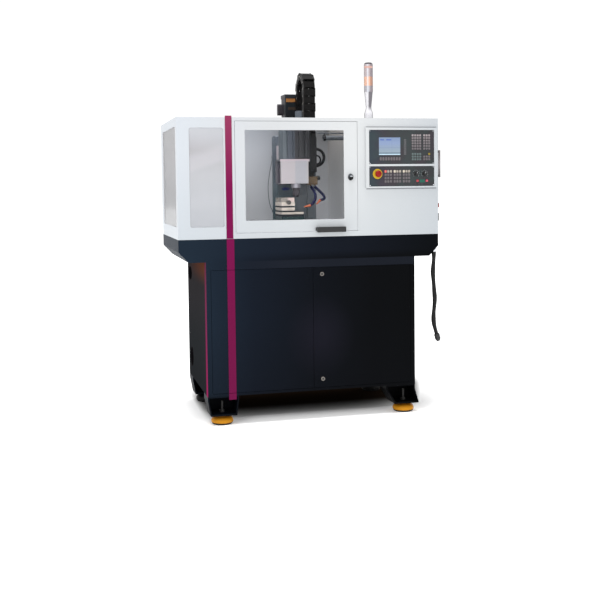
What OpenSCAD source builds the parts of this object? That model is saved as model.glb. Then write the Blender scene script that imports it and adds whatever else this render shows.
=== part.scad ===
// Compact vertical milling machine with numerical control on a two-door base cabinet
// Drawn in millimetres, X to the right, Y to the back, Z up from the floor

/* [Housing] */
// Overall width of the housing and the chip tray
width = 1590; // [1570:10:1620]
// Depth of the housing from front to back
depth = 802; // [790:2:820]
// Height of the housing's top edge above the floor
top_height = 1795; // [1790:5:1830]
// Height where the housing meets the chip tray
tray_top = 1094; // [1088:2:1100]
// Height of the chip tray's underside
tray_bottom = 961; // [955:2:965]
// Sheet thickness of housing and tray
wall = 3; // [2:0.5:4]
// Width of the control housing at the right
control_width = 464; // [455:1:470]
// Height of the sloped lower corner of the tray
tray_slope = 61; // [50:1:66]

/* [Cabinet] */
// Width of the base cabinet
cabinet_width = 1280; // [1260:10:1300]
// Depth of the base cabinet
cabinet_depth = 787; // [775:1:790]
// Height of the cabinet's underside above the floor
cabinet_bottom = 175; // [170:1:182]
// Width of the side stiles beside the doors
stile = 28; // [24:1:34]
// Depth of the folded door edges
door_fold = 20; // [18:1:21]
// Gap around every door
door_gap = 2; // [1.8:0.1:3]

/* [Feet] */
// Diameter of a machine mount
mount_diameter = 130; // [110:2:136]
// Height of a machine mount
mount_height = 50; // [44:1:54]
// Width of a foot bracket at its top
bracket_width = 184; // [168:2:190]

/* [Work door] */
// Width of the hinged work door
door_width = 738; // [730:1:738]
// Height of the hinged work door
door_height = 646; // [640:1:650]
// Height of the door's lower edge above the floor
door_sill = 1127; // [1124:1:1130]
// Length of the door grip
grip_length = 177; // [150:1:190]
// Diameter of the round door latch
latch_diameter = 38; // [30:1:44]

/* [Stripe] */
// Distance of the stripe from the housing's left side
stripe_offset = 280; // [278:1:284]
// Width of the upper stripe
stripe_width = 39; // [30:1:42]

/* [Controls] */
// Height of the control frame's lower edge
frame_bottom = 1377; // [1371:1:1380]
// Diameter of the emergency stop button
stop_diameter = 40; // [34:1:44]
// Diameter of the two override knobs
knob_diameter = 32; // [26:1:36]
// Pitch of the small keys
key_pitch = 16; // [15.5:0.25:16.25]

/* [Mill] */
// Position of the spindle axis from the housing's centre
spindle_x = -38; // [-40:1:-36]
// Distance of the spindle axis behind the housing's front
spindle_y = 245; // [243:1:248]
// Width of the column
column_width = 282; // [276:2:290]
// Height of the column's top above the floor
column_top = 1712; // [1710:1:1720]
// Height of the table's top above the floor
table_top = 1190; // [1186:1:1192]
// Length of the slotted table
table_length = 500; // [480:5:510]
// Width of the slotted table
table_width = 180; // [170:2:184]
// Jaw width of the machine vice
jaw_width = 82; // [76:1:83]
// Diameter of the spindle cutter
cutter_diameter = 40; // [30:1:42]

/* [Energy chain] */
// Width of the chain
chain_width = 77; // [70:1:78]
// Thickness of the chain's links
chain_height = 42; // [38:1:43]
// Height of the bend's centre
bend_height = 2001; // [1995:1:2010]

/* [Cord] */
// Diameter of the wrapped cord
cord_diameter = 28; // [22:1:30]

/* [Hidden] */

// Clearances
run = 0.05;
pivot = 4;
pin_r = 3;

// Housing
hw = width / 2;
split_x = hw - control_width;
slope_x = 0.95 * tray_slope;
wider = width - 1590;
higher = top_height - 1795;
origin_x = 20;
origin_y = depth / 2 - 19;

// Cabinet
cw = cabinet_width / 2;
open_x = cw - stile;
rail_bottom = cabinet_bottom + 15;
rail_top = tray_bottom - 47;
leaf_bottom = rail_bottom + door_gap;
leaf_top = rail_top - door_gap;
leaf_x = open_x - door_gap;
stop_y = door_fold + 2;

// Stripe and work door
stripe_x = -hw + stripe_offset;
door_x0 = stripe_x + stripe_width + 18;
door_x1 = door_x0 + door_width + wider;
door_z0 = door_sill;
door_z1 = door_sill + door_height + higher;
pane_x0 = door_x0 + 58;
pane_x1 = door_x1 - 83;
pane_z0 = door_z0 + 70;
pane_z1 = door_z1 - 51;
latch_x = door_x1 - 43;
latch_z = door_z0 + 318;

// Control front
frame_x0 = split_x;
frame_x1 = hw - 8;
frame_z = frame_bottom + higher;
frame_top = frame_z + 362;
panel_x0 = frame_x0 + 20;
panel_x1 = frame_x1 - 21;
upper_z0 = frame_z + 143;
upper_z1 = frame_top - 14;
lower_z0 = frame_z + 10;
lower_z1 = frame_z + 131;
panel_y = -8;
stop_x = panel_x0 + 53;
stop_z = lower_z0 + 75;
knob_x = panel_x0 + 299;
knob_pitch = 54;

// Mill
mill_x = spindle_x + wider / 2;
mill_back = depth - 90;
col_x0 = mill_x + 42 - column_width / 2;
col_x1 = col_x0 + column_width;
col_y = 450;
table_x = mill_x - 100;
table_y = spindle_y;
vice_x = mill_x - 69;
vice_z = table_top;
chain_x0 = col_x1 - 101;
chain_x1 = chain_x0 + chain_width;
front_strand = 350;
bend_r = 105 - chain_height / 2;
bend_y = front_strand + 105;
link_pitch = 46;
link_count = 9;
rear_count = 5;
tower_x = split_x + 49;
tower_y = 80;
vice_screw_z = vice_z + 107;

// Cord route, from the gland to the plug
cord_x = hw - 19;
cord_y = 25;
cord_r = cord_diameter / 2;
gland_z = tray_bottom + 23;
route = [[0, 0, 0], [0, 0, -30], [-4, 1, -75], [-5, 2, -118], [-2, 3, -155], [1, 3, -191], [6, 2, -226],
    [8, 1, -261], [5, 0, -305], [1, 0, -350], [-2, 1, -385], [-3, 2, -418], [0, 3, -446], [8, 4, -474],
    [17, 5, -504], [25, 6, -534]];

// Basic shapes
module place() { translate([-origin_x, -origin_y, 0]) children(); }
module block(x0, x1, y0, y1, z0, z1) { translate([x0, y0, z0]) cube([x1 - x0, y1 - y0, z1 - z0]); }
module rod_x(x0, x1, y, z, r) { translate([x0, y, z]) rotate([0, 90, 0]) cylinder(h = x1 - x0, r = r, $fn = 48); }
module rod_y(x, y0, y1, z, r) { translate([x, y0, z]) rotate([-90, 0, 0]) cylinder(h = y1 - y0, r = r, $fn = 48); }
module rod_z(x, y, z0, z1, r) { translate([x, y, z0]) cylinder(h = z1 - z0, r = r, $fn = 48); }

// A block through a wall along Y with round corners in the XZ plane
module slab_y(x0, x1, y0, y1, z0, z1, r) {
    block(x0 + r, x1 - r, y0, y1, z0, z1);
    block(x0, x1, y0, y1, z0 + r, z1 - r);
    for (x = [x0 + r, x1 - r], z = [z0 + r, z1 - r]) rod_y(x, y0, y1, z, r);
}

// The same along X with round corners in the YZ plane
module slab_x(x0, x1, y0, y1, z0, z1, r) {
    block(x0, x1, y0 + r, y1 - r, z0, z1);
    block(x0, x1, y0, y1, z0 + r, z1 - r);
    for (y = [y0 + r, y1 - r], z = [z0 + r, z1 - r]) rod_x(x0, x1, y, z, r);
}

// An outline in the XZ plane drawn out along Y
module plate_y(points, y0, y1) {
    translate([0, y1, 0]) rotate([90, 0, 0]) linear_extrude(height = y1 - y0) polygon(points);
}

// A folded sheet door without its hinge pins
module folded_leaf(x0, x1, z0, z1) {
    difference() {
        block(x0, x1, 0, door_fold, z0, z1);
        block(x0 + 2, x1 - 2, 2, door_fold + 1, z0 + 2, z1 - 2);
    }
}

// Hinge pins above and below one door edge
module pivot_pins(x, z0, z1) {
    rod_z(x, pivot, z0 - 9, z0 + 4, pin_r);
    rod_z(x, pivot, z1 - 4, z1 + 9, pin_r);
}

// Lug round a hinge pin, and the two bores that take a door's pins
module pivot_lug(x, z0, z1) { block(x - 8, x + 8, 0.5, 14, z0, z1); }
module pivot_bores(x, z0, z1) {
    rod_z(x, pivot, z0 - 10, z0, pin_r + run);
    rod_z(x, pivot, z1, z1 + 10, pin_r + run);
}

// Cabinet
module cabinet() color([0.10, 0.13, 0.19]) place() difference() {
    union() {
        difference() {
            block(-cw, cw, 0, cabinet_depth, cabinet_bottom, tray_bottom);
            block(-cw + wall, cw - wall, wall, cabinet_depth - wall, cabinet_bottom + wall, tray_bottom - wall);
            block(-open_x, open_x, -1, wall + 1, rail_bottom, rail_top);
        }
        for (s = [-1, 1]) {
            translate([s * open_x, 0, 0]) mirror([s < 0 ? 1 : 0, 0, 0]) {
                block(0, wall, 1, stop_y + 3, rail_bottom, rail_top);
                block(-10, wall, stop_y, stop_y + 3, rail_bottom, rail_top);
            }
            pivot_lug(s * (leaf_x - pivot), cabinet_bottom + 1, rail_bottom);
            pivot_lug(s * (leaf_x - pivot), rail_top, rail_top + 14);
        }
        block(-open_x, open_x, 1, 14, rail_top, rail_top + 2);
        block(-cw + 1, cw - 1, 1.5, 5, rail_top + 22, rail_top + 25);
    }
    for (s = [-1, 1]) pivot_bores(s * (leaf_x - pivot), leaf_bottom, leaf_top);
}

// One sheet door of the cabinet
module stand_leaf(side) {
    hinge = side * (leaf_x - pivot);
    x0 = side < 0 ? -leaf_x : door_gap / 2;
    x1 = side < 0 ? -door_gap / 2 : leaf_x;
    difference() {
        folded_leaf(x0, x1, leaf_bottom, leaf_top);
        if (side > 0) for (z = [leaf_bottom + 51, leaf_top - 40]) rod_y(55, -1, 3, z, 9 + run);
    }
    pivot_pins(hinge, leaf_bottom, leaf_top);
}
module stand_door_left() color([0.10, 0.13, 0.19]) place() stand_leaf(-1);
module stand_door_right() color([0.10, 0.13, 0.19]) place() stand_leaf(1);

// Quarter-turn lock with a slot for a key and a short tongue
module quarter_lock(z) {
    difference() {
        union() {
            rod_y(55, -4, 0, z, 14);
            rod_y(55, 0, 14, z, 9);
        }
        block(47, 63, -5, -1.5, z - 1.5, z + 1.5);
    }
    block(51, 59, 10, 13, z - 26, z);
}
module upper_lock() color([0.75, 0.76, 0.78]) place() quarter_lock(leaf_top - 40);
module lower_lock() color([0.75, 0.76, 0.78]) place() quarter_lock(leaf_bottom + 51);

// Feet
foot_x = cw - bracket_width / 2 + 19;
foot_y = 76;
// The feet stand a little right of the cabinet, as the photo shows, and their brackets lean out to them.
foot_shift = 22;
module at_feet() {
    for (sx = [-1, 1], y = [foot_y, cabinet_depth - foot_y]) translate([sx * foot_x + foot_shift, y, 0]) children();
}
module foot_brackets() color([0.09, 0.11, 0.16]) place() {
    z0 = mount_height + 8;
    a = bracket_width / 2;
    b = a - 14;
    top = cabinet_bottom;
    for (sx = [-1, 1], y = [foot_y, cabinet_depth - foot_y]) translate([sx * foot_x + foot_shift, y, 0]) {
        t = -19 * sx - foot_shift;
        l = t - a;
        r = t + a;
        difference() {
            plate_y([[l, top], [l, top - 26], [-b, z0], [b, z0], [r, top - 26], [r, top]], -72, 72);
            plate_y([[l + 7, top - 8], [l + 7, top - 27], [-b + 7, z0 + 10], [b - 7, z0 + 10],
                [r - 7, top - 27], [r - 7, top - 8]], -73, 66);
            rod_z(0, 0, z0 - 1, z0 + 11, 9);
        }
    }
}
module levelling_bolts() color([0.62, 0.63, 0.65]) place() at_feet() {
    z0 = mount_height + 8;
    rod_z(0, 0, mount_height, cabinet_bottom - 40, 8);
    translate([0, 0, z0 + 10]) cylinder(h = 13, r = 15, $fn = 6);
    translate([0, 0, mount_height]) cylinder(h = 8, r = 15, $fn = 6);
}
module mount_caps() color([0.90, 0.62, 0.10]) place() at_feet() {
    r = mount_diameter / 2;
    rotate_extrude($fn = 64) polygon([[0, 10], [r, 10], [r, 26], [r - 6, 38], [r - 20, mount_height],
        [0, mount_height]]);
}
module mount_pads() color([0.05, 0.05, 0.05]) place() at_feet() {
    rotate_extrude($fn = 64) polygon([[0, 0], [mount_diameter / 2 - 8, 0], [mount_diameter / 2 - 3, 10], [0, 10]]);
}

// Chip tray with sloped lower corners
module tray_outer(y0, y1) {
    z1 = tray_bottom + tray_slope;
    x1 = hw - slope_x;
    plate_y([[-hw, tray_top], [-hw, z1], [-x1, tray_bottom], [x1, tray_bottom], [hw, z1], [hw, tray_top]], y0, y1);
}
module chip_tray() color([0.10, 0.13, 0.19]) place() {
    z1 = tray_bottom + tray_slope;
    x1 = hw - slope_x;
    t = wall;
    difference() {
        tray_outer(0, depth);
        plate_y([[-hw + t, tray_top + 1], [-hw + t, z1 + 1], [-x1 + 1, tray_bottom + t],
            [x1 - 1, tray_bottom + t], [hw - t, z1 + 1], [hw - t, tray_top + 1]], t, depth - t);
    }
}

// White housing, open at the top over the mill
module enclosure() color([0.89, 0.91, 0.93]) place() difference() {
    t = wall;
    zl = door_z0 - door_gap;
    zh = door_z1 + door_gap;
    xl = door_x0 - door_gap;
    xr = door_x1 + door_gap;
    union() {
        difference() {
            union() {
                difference() {
                    block(-hw, split_x, 0, depth, tray_top, top_height);
                    block(-hw + t, split_x + 1, t, depth - t, tray_top - 1, top_height + 1);
                }
                difference() {
                    block(-hw, split_x, 0, depth, top_height - t, top_height);
                    block(-hw + 24, split_x + 1, 24, depth - 24, top_height - t - 1, top_height + 1);
                }
                difference() {
                    block(-hw, split_x, 0, depth, tray_top, tray_top + t);
                    block(-hw + 30, split_x + 1, 22, depth - 30, tray_top - 1, tray_top + t + 1);
                }
            }
            slab_y(-hw + 71, stripe_x - 9, -1, t + 1, tray_top + 69, top_height - 60, 12);
            slab_x(-hw - 1, -hw + t + 1, 60, depth - 78, tray_top + 71, top_height - 50, 12);
            block(xl, xr, -1, t + 1, zl, zh);
        }
        difference() {
            block(xl - t, xr + t, 1, stop_y + 3, zl - t, zh + t);
            block(xl, xr, 0, stop_y + 0, zl, zh);
            block(xl + 10, xr - 10, 0, stop_y + 4, zl + 10, zh - 10);
        }
        pivot_lug(door_x0 + pivot, zl - 12, zl);
        pivot_lug(door_x0 + pivot, zh, zh + 12);
    }
    pivot_bores(door_x0 + pivot, door_z0, door_z1);
}

// Closed control housing at the right
module control_housing() color([0.89, 0.91, 0.93]) place() {
    difference() {
        block(split_x, hw, 0, depth, tray_top, top_height);
        block(split_x + wall, hw - wall, wall, depth - wall, tray_top + wall, top_height - wall);
        for (i = [0, 1]) rod_y(knob_x + i * knob_pitch, -1, 14, stop_z, 4);
        rod_y(stop_x, -1, 14, stop_z, 10);
        rod_x(hw - wall - 1, hw + 1, 66, tray_top + 101, 4 + run);
    }
}

// Fixed panes behind the housing's sheet
module fixed_windows() color([0.76, 0.78, 0.80, 0.35]) place() {
    block(-hw + 59, stripe_x + 1, wall, wall + 4, tray_top + 57, top_height - 48);
    block(-hw + wall, -hw + wall + 4, 48, depth - 66, tray_top + 59, top_height - 38);
}

// Plain stripe, in parts on the housing, tray and cabinet
stripe_z = rail_bottom - 37;
module accent_strips() color([0.55, 0.08, 0.34]) place() {
    w = stripe_width;
    block(stripe_x, stripe_x + w, -2, 0, tray_top + 2, top_height + 9);
    block(stripe_x, stripe_x + w + 5, -2, 0, rail_top, tray_top);
    block(stripe_x, stripe_x + w + 5, -2, 0, stripe_z, rail_bottom);
}
module door_strip() color([0.55, 0.08, 0.34]) place() {
    block(stripe_x, stripe_x + stripe_width + 5, -2, 0, leaf_bottom, leaf_top);
}

// Work door
module door_frame() color([0.90, 0.92, 0.94]) place() {
    difference() {
        folded_leaf(door_x0, door_x1, door_z0, door_z1);
        slab_y(pane_x0, pane_x1, -1, 3, pane_z0, pane_z1, 6);
        rod_y(latch_x, -1, 3, latch_z, 6 + run);
    }
    pivot_pins(door_x0 + pivot, door_z0, door_z1);
}
module door_window() color([0.76, 0.78, 0.80, 0.35]) place() {
    block(pane_x0 - 12, pane_x1 + 12, 2, 6, pane_z0 - 12, pane_z1 + 12);
}
module door_handle() color([0.04, 0.04, 0.05]) place() {
    x1 = door_x1 - 84;
    x0 = x1 - grip_length;
    z = door_z0 + 10;
    for (x = [x0, x1 - 20]) block(x, x + 20, -32, 0, z - 7, z + 13);
    slab_y(x0, x1, -40, -26, z - 16, z + 16, 6);
}
module latch_knob() color([0.10, 0.10, 0.11]) place() {
    r = latch_diameter / 2;
    rod_y(latch_x, -3, 0, latch_z, r + 2);
    rod_y(latch_x, -22, -3, latch_z, r - 2);
    block(latch_x - 3, latch_x + 3, -26, -20, latch_z - r + 5, latch_z + r - 5);
    rod_y(latch_x, -3, 12, latch_z, 6);
    block(latch_x - 5, latch_x + 5, 8, 11, latch_z - 22, latch_z);
}

// Control front
module control_bezel() color([0.88, 0.90, 0.92]) place() {
    difference() {
        block(frame_x0, frame_x1, -12, 0, frame_z, frame_top);
        block(panel_x0, panel_x1, -13, 1, upper_z0, upper_z1);
        block(panel_x0, panel_x1, -13, 1, lower_z0, lower_z1);
    }
}
module operator_panel() color([0.26, 0.28, 0.30]) place() {
    difference() {
        block(panel_x0, panel_x1, panel_y, 0, upper_z0, upper_z1);
        block(panel_x0 + 63, panel_x0 + 199, panel_y - 1, panel_y + 2, upper_z0 + 55, upper_z1 - 45);
    }
}
module machine_panel() color([0.26, 0.28, 0.30]) place() {
    difference() {
        block(panel_x0, panel_x1, panel_y, 0, lower_z0, lower_z1);
        for (i = [0, 1]) rod_y(knob_x + i * knob_pitch, panel_y - 1, 1, stop_z, 3 + run);
        rod_y(stop_x, panel_y - 1, 1, stop_z, 8 + run);
    }
}
module screen() color([0.62, 0.72, 0.88]) place() {
    block(panel_x0 + 63, panel_x0 + 199, panel_y + 1, panel_y + 2, upper_z0 + 55, upper_z1 - 45);
}

// One square key standing on a panel
module key(x, z, w, h) { block(x, x + w, panel_y - 2.5, panel_y, z, z + h); }
module panel_keys() color([0.62, 0.64, 0.66]) place() {
    k = key_pitch;
    for (c = [0:3], r = [0:5]) key(panel_x0 + 271 + c * k, upper_z0 + 86 + r * k, k - 3.5, k - 3.5);
    for (c = [0:2], r = [0:5]) key(panel_x0 + 345 + c * k, upper_z0 + 86 + r * k, k - 3.5, k - 3.5);
    for (c = [0:3], r = [0:2]) key(panel_x0 + 271 + c * k, upper_z0 + 22 + r * k, k - 3.5, k - 3.5);
    for (c = [0:2], r = [0:1]) key(panel_x0 + 345 + c * k, upper_z0 + 22 + r * k, k - 3.5, k - 3.5);
    for (r = [0:7]) key(panel_x0 + 220, upper_z0 + 56 + r * 12, 16, 8.5);
    for (c = [0:7]) key(panel_x0 + 67 + c * 17, upper_z0 + 22, 13, 20);
}
module machine_keys() color([0.55, 0.57, 0.59]) place() {
    for (g = [0:2], c = [0:2], r = [0:3]) if (r < 3 || c > 0)
        key(panel_x0 + 97 + g * 58 + c * 17, lower_z0 + 22 + r * 20, 13, 15);
    for (i = [0:2]) key(panel_x0 + 285 + i * 22, lower_z0 + 7, 15, 13);
}
module lamp_keys() color([0.85, 0.20, 0.15]) place() {
    for (g = [0:2]) key(panel_x0 + 97 + g * 58, lower_z0 + 82, 13, 15);
    for (i = [0:1]) key(panel_x0 + 300 + i * 60, lower_z0 + 25, 15, 13);
}

// Emergency stop and override knobs
module estop_collar() color([0.92, 0.74, 0.10]) place() {
    difference() {
        rod_y(stop_x, panel_y - 4, panel_y, stop_z, stop_diameter / 2 + 10);
        rod_y(stop_x, panel_y - 5, panel_y + 1, stop_z, 8 + run);
    }
}
module estop_button() color([0.80, 0.10, 0.08]) place() {
    r = stop_diameter / 2;
    translate([stop_x, panel_y - 11, stop_z]) rotate([90, 0, 0]) rotate_extrude($fn = 64)
        polygon([[0, 0], [r - 6, 0], [r, 6], [r, 11], [r - 3, 16], [r - 9, 19], [0, 20]]);
    rod_y(stop_x, panel_y - 12, 2, stop_z, 8);
}
module override_knob(x) {
    r = knob_diameter / 2;
    difference() {
        union() {
            rod_y(x, panel_y - 6, panel_y, stop_z, r);
            rod_y(x, panel_y - 20, panel_y - 5, stop_z, r - 4);
        }
        block(x - 0.8, x + 0.8, panel_y - 21, panel_y - 18, stop_z, stop_z + r);
    }
    rod_y(x, panel_y - 1, 12, stop_z, 3);
}
module feed_knob() color([0.06, 0.06, 0.07]) place() override_knob(knob_x);
module spindle_knob() color([0.06, 0.06, 0.07]) place() override_knob(knob_x + knob_pitch);

// Fittings on the right side of the control housing
module side_handle() color([0.80, 0.81, 0.83]) place() {
    z0 = tray_top + 346;
    for (z = [z0 + 8, z0 + 157]) rod_x(hw, hw + 36, 60, z, 7);
    rod_z(hw + 33, 60, z0, z0 + 165, 6.5);
}
module side_sockets() color([0.62, 0.16, 0.14]) place() {
    slab_x(hw, hw + 26, 44, 88, tray_top + 159, tray_top + 186, 4);
    rod_x(hw, hw + 18, 66, tray_top + 144, 9);
    difference() {
        block(hw, hw + 4, 36, 96, tray_top + 71, tray_top + 131);
        rod_x(hw - 1, hw + 5, 66, tray_top + 101, 4 + run);
    }
}
module main_switch() color([0.12, 0.12, 0.13]) place() {
    z = tray_top + 101;
    rod_x(hw - 12, hw + 8, 66, z, 4);
    rod_x(hw + 4, hw + 14, 66, z, 25);
    block(hw + 13, hw + 30, 60, 72, z - 24, z + 24);
}

// Signal tower
module tower_ring(points) { translate([tower_x, tower_y, top_height]) rotate_extrude($fn = 64) polygon(points); }
module tower_stem() color([0.92, 0.92, 0.94]) place() {
    tower_ring([[0, 0], [26, 0], [26, 32], [23, 44], [18, 58], [16.5, 69], [17.5, 78], [25, 158], [26.5, 162],
        [0, 162]]);
}
module tower_clear_lenses() color([0.80, 0.84, 0.92, 0.6]) place() {
    tower_ring([[0, 162], [27, 162], [27, 198], [0, 198]]);
    tower_ring([[0, 252], [27, 252], [27, 327], [0, 327]]);
}
module tower_amber_lens() color([0.98, 0.62, 0.22, 0.8]) place() {
    tower_ring([[0, 198], [27, 198], [27, 252], [0, 252]]);
}
module tower_cap() color([0.25, 0.22, 0.25]) place() {
    tower_ring([[0, 327], [26, 327], [25, 332], [19, 337], [0, 340]]);
}

// Tubular lamp on the partition
module work_lamp() color([0.45, 0.47, 0.50]) place() {
    z = top_height - 103;
    rod_x(split_x - 166, split_x - 22, 300, z, 15);
    rod_x(split_x - 176, split_x - 166, 300, z, 17);
    rod_x(split_x - 22, split_x - 8, 300, z, 17);
    block(split_x - 9, split_x, 276, 324, z - 24, z + 24);
}

// Machine bed with two flat ways
module machine_bed() color([0.33, 0.40, 0.42]) place() {
    z0 = tray_bottom + wall;
    block(mill_x - 170, mill_x + 205, 60, mill_back + 18, z0, z0 + 22);
    block(mill_x - 112, mill_x + 150, 80, mill_back + 3, z0 + 22, table_top - 112);
    for (x = [mill_x - 92, mill_x + 62]) block(x, x + 30, 80, 448, table_top - 112, table_top - 98);
    block(col_x0 - 14, col_x1 + 14, col_y + 2, mill_back + 18, table_top - 112, table_top - 90);
}

// Column with two flat rails
rail_x = [col_x0 + 30, col_x1 - 60];
module column() color([0.38, 0.45, 0.50]) place() {
    z0 = table_top - 90;
    back_x = col_x0 + 62;
    difference() {
        union() {
            block(col_x0, col_x1, col_y, mill_back, z0, column_top - 12);
            slab_x(col_x0 + 12, col_x1, col_y, mill_back, column_top - 40, column_top, 10);
            rod_y(col_x0 + 12, col_y, mill_back, column_top - 12, 12);
        }
        translate([0, 0, z0 - 1]) linear_extrude(height = column_top)
            polygon([[col_x0 - 1, col_y + 12], [col_x0, col_y + 12], [back_x, mill_back + 1],
                [col_x0 - 1, mill_back + 1]]);
        translate([0, 0, z0 + 20]) linear_extrude(height = column_top - z0 - 110)
            polygon([[col_x0 + 32, col_y + 60], [back_x + 18, mill_back + 1], [col_x1 - 18, mill_back + 1],
                [col_x1 - 18, col_y + 60]]);
    }
    for (x = rail_x) block(x, x + 30, col_y - 14, col_y, z0 + 60, column_top - 6);
    chain_trough();
}

// Channels that hide the two ends of the chain
guide_gap = 0.25;
slot_x0 = chain_x0 - guide_gap;
slot_x1 = chain_x1 + guide_gap;
rear_y0 = bend_y + bend_r - chain_height / 2 - guide_gap;
rear_y1 = bend_y + bend_r + chain_height / 2 + guide_gap;
module chain_trough() {
    difference() {
        block(slot_x0 - 3, slot_x1 + 3, rear_y0 - 3, rear_y1 + 3, column_top - 1, column_top + 164);
        block(slot_x0, slot_x1, rear_y0, rear_y1, column_top, column_top + 165);
    }
}

// Head with its slide block, spindle housing and chain channel
head_x0 = mill_x - 112;
head_x1 = chain_x0 - 8;
head_z = table_top + 215;
module head() color([0.42, 0.46, 0.50]) place() {
    f0 = front_strand - guide_gap;
    f1 = front_strand + chain_height + guide_gap;
    difference() {
        union() {
            block(rail_x[0] - 5, slot_x1, f1 + 3, col_y - 2, head_z, head_z + 125);
            block(head_x0, head_x1, 252, 310, head_z + 7, head_z + 140);
            block(head_x0 + 40, head_x1, 309, f1 + 4, head_z + 7, head_z + 140);
            rod_z(mill_x, spindle_y, head_z + 7, head_z + 140, 46);
            block(head_x0, head_x1, 172, 310, head_z + 140, head_z + 152);
            block(head_x0 + 40, head_x1, 309, 400, head_z + 140, head_z + 152);
        }
        for (x = rail_x) block(x - 0.3, x + 30.3, col_y - 14.3, col_y, head_z - 1, head_z + 126);
        rod_z(mill_x, spindle_y, head_z + 6, head_z + 120, 20 + run);
    }
    difference() {
        block(slot_x0 - 3, slot_x1 + 3, f0 - 3, f1 + 3.5, head_z + 76, head_z + 295);
        block(slot_x0, slot_x1, f0, f1, head_z + 75, head_z + 296);
    }
}

// White sheet guard around the spindle housing
guard_x0 = mill_x - 110;
guard_x1 = mill_x + 60;
module head_guard() color([0.90, 0.90, 0.93]) place() {
    z0 = head_z + 5;
    z1 = head_z + 152;
    difference() {
        union() {
            block(guard_x0, guard_x1, 165, 252, z0, z1 - 12);
            block(guard_x0 - 6, guard_x1 + 6, 158, 172, z1 - 14, z1);
        }
        block(guard_x0 + 2, guard_x1 - 2, 167, 253, z0 + 2, z1 - 12);
        block(guard_x0 + 2, guard_x1 - 2, 167, 253, z1 - 15, z1 - 12);
        rod_z(mill_x, spindle_y, z0 - 1, z0 + 3, 34);
        block(guard_x0 - 1, guard_x1 + 1, 187, 253, z0 + 2, z1 + 1);
    }
}

// Dark ribbed cover of the spindle motor
shroud_z = head_z + 152;
module motor_shroud() color([0.20, 0.21, 0.23]) place() {
    x0 = head_x0 - 4;
    x1 = head_x1 - 1;
    c = 20;
    difference() {
        translate([0, 0, shroud_z]) linear_extrude(height = 221)
            polygon([[x0 + 40, 330], [x0, 200], [x0, 168 + c], [x0 + c, 168], [x1 - c, 168], [x1, 168 + c],
                [x1, 330]]);
        for (i = [0:3]) block(x0 + 40 + i * 36, x0 + 48 + i * 36, 160, 174, shroud_z + 12, shroud_z + 222);
        for (i = [0:5]) block(x0 + 55, x1 - 30, 210 + i * 18, 218 + i * 18, shroud_z + 215, shroud_z + 222);
    }
}

// Spindle with its cutter
module spindle() color([0.66, 0.67, 0.69]) place() {
    r = cutter_diameter / 2;
    rod_z(mill_x, spindle_y, head_z - 8, head_z + 110, 20);
    rod_z(mill_x, spindle_y, head_z - 22, head_z + 2, 28);
    difference() {
        rod_z(mill_x, spindle_y, head_z - 58, head_z - 21, 21);
        difference() {
            rod_z(mill_x, spindle_y, head_z - 40, head_z - 34, 23);
            rod_z(mill_x, spindle_y, head_z - 41, head_z - 33, 18);
        }
    }
    difference() {
        rod_z(mill_x, spindle_y, head_z - 75, head_z - 57, r);
        for (a = [0:90:270]) translate([mill_x, spindle_y, head_z - 76]) rotate([0, 0, a])
            block(r - 5, r + 3, -5, 5, 0, 14);
    }
}

// Motor on the column
motor_x1 = chain_x0 + 50.5;
motor_y = mill_back - 80;
module z_motor() color([0.17, 0.19, 0.22]) place() {
    x0 = motor_x1 - 118;
    block(x0 + 10, motor_x1 - 8, motor_y - 49, motor_y + 47, column_top, column_top + 70);
    block(x0, motor_x1, motor_y - 59, motor_y + 59, column_top + 70, column_top + 84);
    block(x0 + 4, motor_x1 - 2, motor_y - 55, motor_y + 55, column_top + 84, column_top + 250);
    block(x0 + 1, motor_x1, motor_y - 58, motor_y + 58, column_top + 250, column_top + 273);
    slab_x(x0 - 27, x0 + 5, motor_y + 18, motor_y + 52, column_top + 144, column_top + 217, 14);
}

// Saddle and slotted table
module saddle() color([0.33, 0.40, 0.42]) place() {
    z0 = table_top - 98;
    difference() {
        block(mill_x - 122, mill_x + 122, 150, 340, z0 - 12, z0 + 40);
        for (x = [mill_x - 92, mill_x + 62]) block(x - 0.3, x + 30.3, 149, 341, z0 - 13, z0);
    }
}
module table() color([0.60, 0.61, 0.63]) place() {
    x0 = table_x - table_length / 2;
    x1 = table_x + table_length / 2;
    difference() {
        block(x0, x1, table_y - table_width / 2, table_y + table_width / 2, table_top - 58, table_top);
        for (y = [-55, 0, 55]) {
            block(x0 - 1, x1 + 1, table_y + y - 6, table_y + y + 6, table_top - 12, table_top + 1);
            block(x0 - 1, x1 + 1, table_y + y - 10, table_y + y + 10, table_top - 20, table_top - 11);
        }
        for (x = [x0 - 1, x1 - 14]) block(x, x + 15, table_y - 92.5, table_y + 92.5, table_top - 59, table_top - 30);
    }
}

// Machine vice with a screw along Y
jw = jaw_width / 2;
vy = spindle_y - 85;
module vice_base() color([0.70, 0.68, 0.62]) place() {
    x = vice_x;
    z = vice_z;
    difference() {
        union() {
            block(x - jw, x + jw + 54, vy, vy + 174, z, z + 33);
            block(x - jw + 3, x + jw + 51, vy + 4, vy + 170, z + 32, z + 38);
            block(x - jw, x + jw + 54, vy, vy + 174, z + 37, z + 50);
            block(x - jw + 3, x + jw - 3, vy + 4, vy + 170, z + 49, z + 63);
            block(x - jw, x + jw, vy, vy + 174, z + 62, z + 77);
            block(x - jw + 3, x + jw - 3, vy + 4, vy + 170, z + 76, z + 87);
            block(x - jw, x + jw, vy, vy + 174, z + 86, z + 108);
            block(x - jw, x + jw, vy + 124, vy + 168, z + 107, z + 135);
        }
        block(x - 15, x + 15, vy + 10, vy + 124, z + 90, z + 109);
        rod_y(x, vy - 1, vy + 136, vice_screw_z, 9 + run);
    }
}
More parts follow.
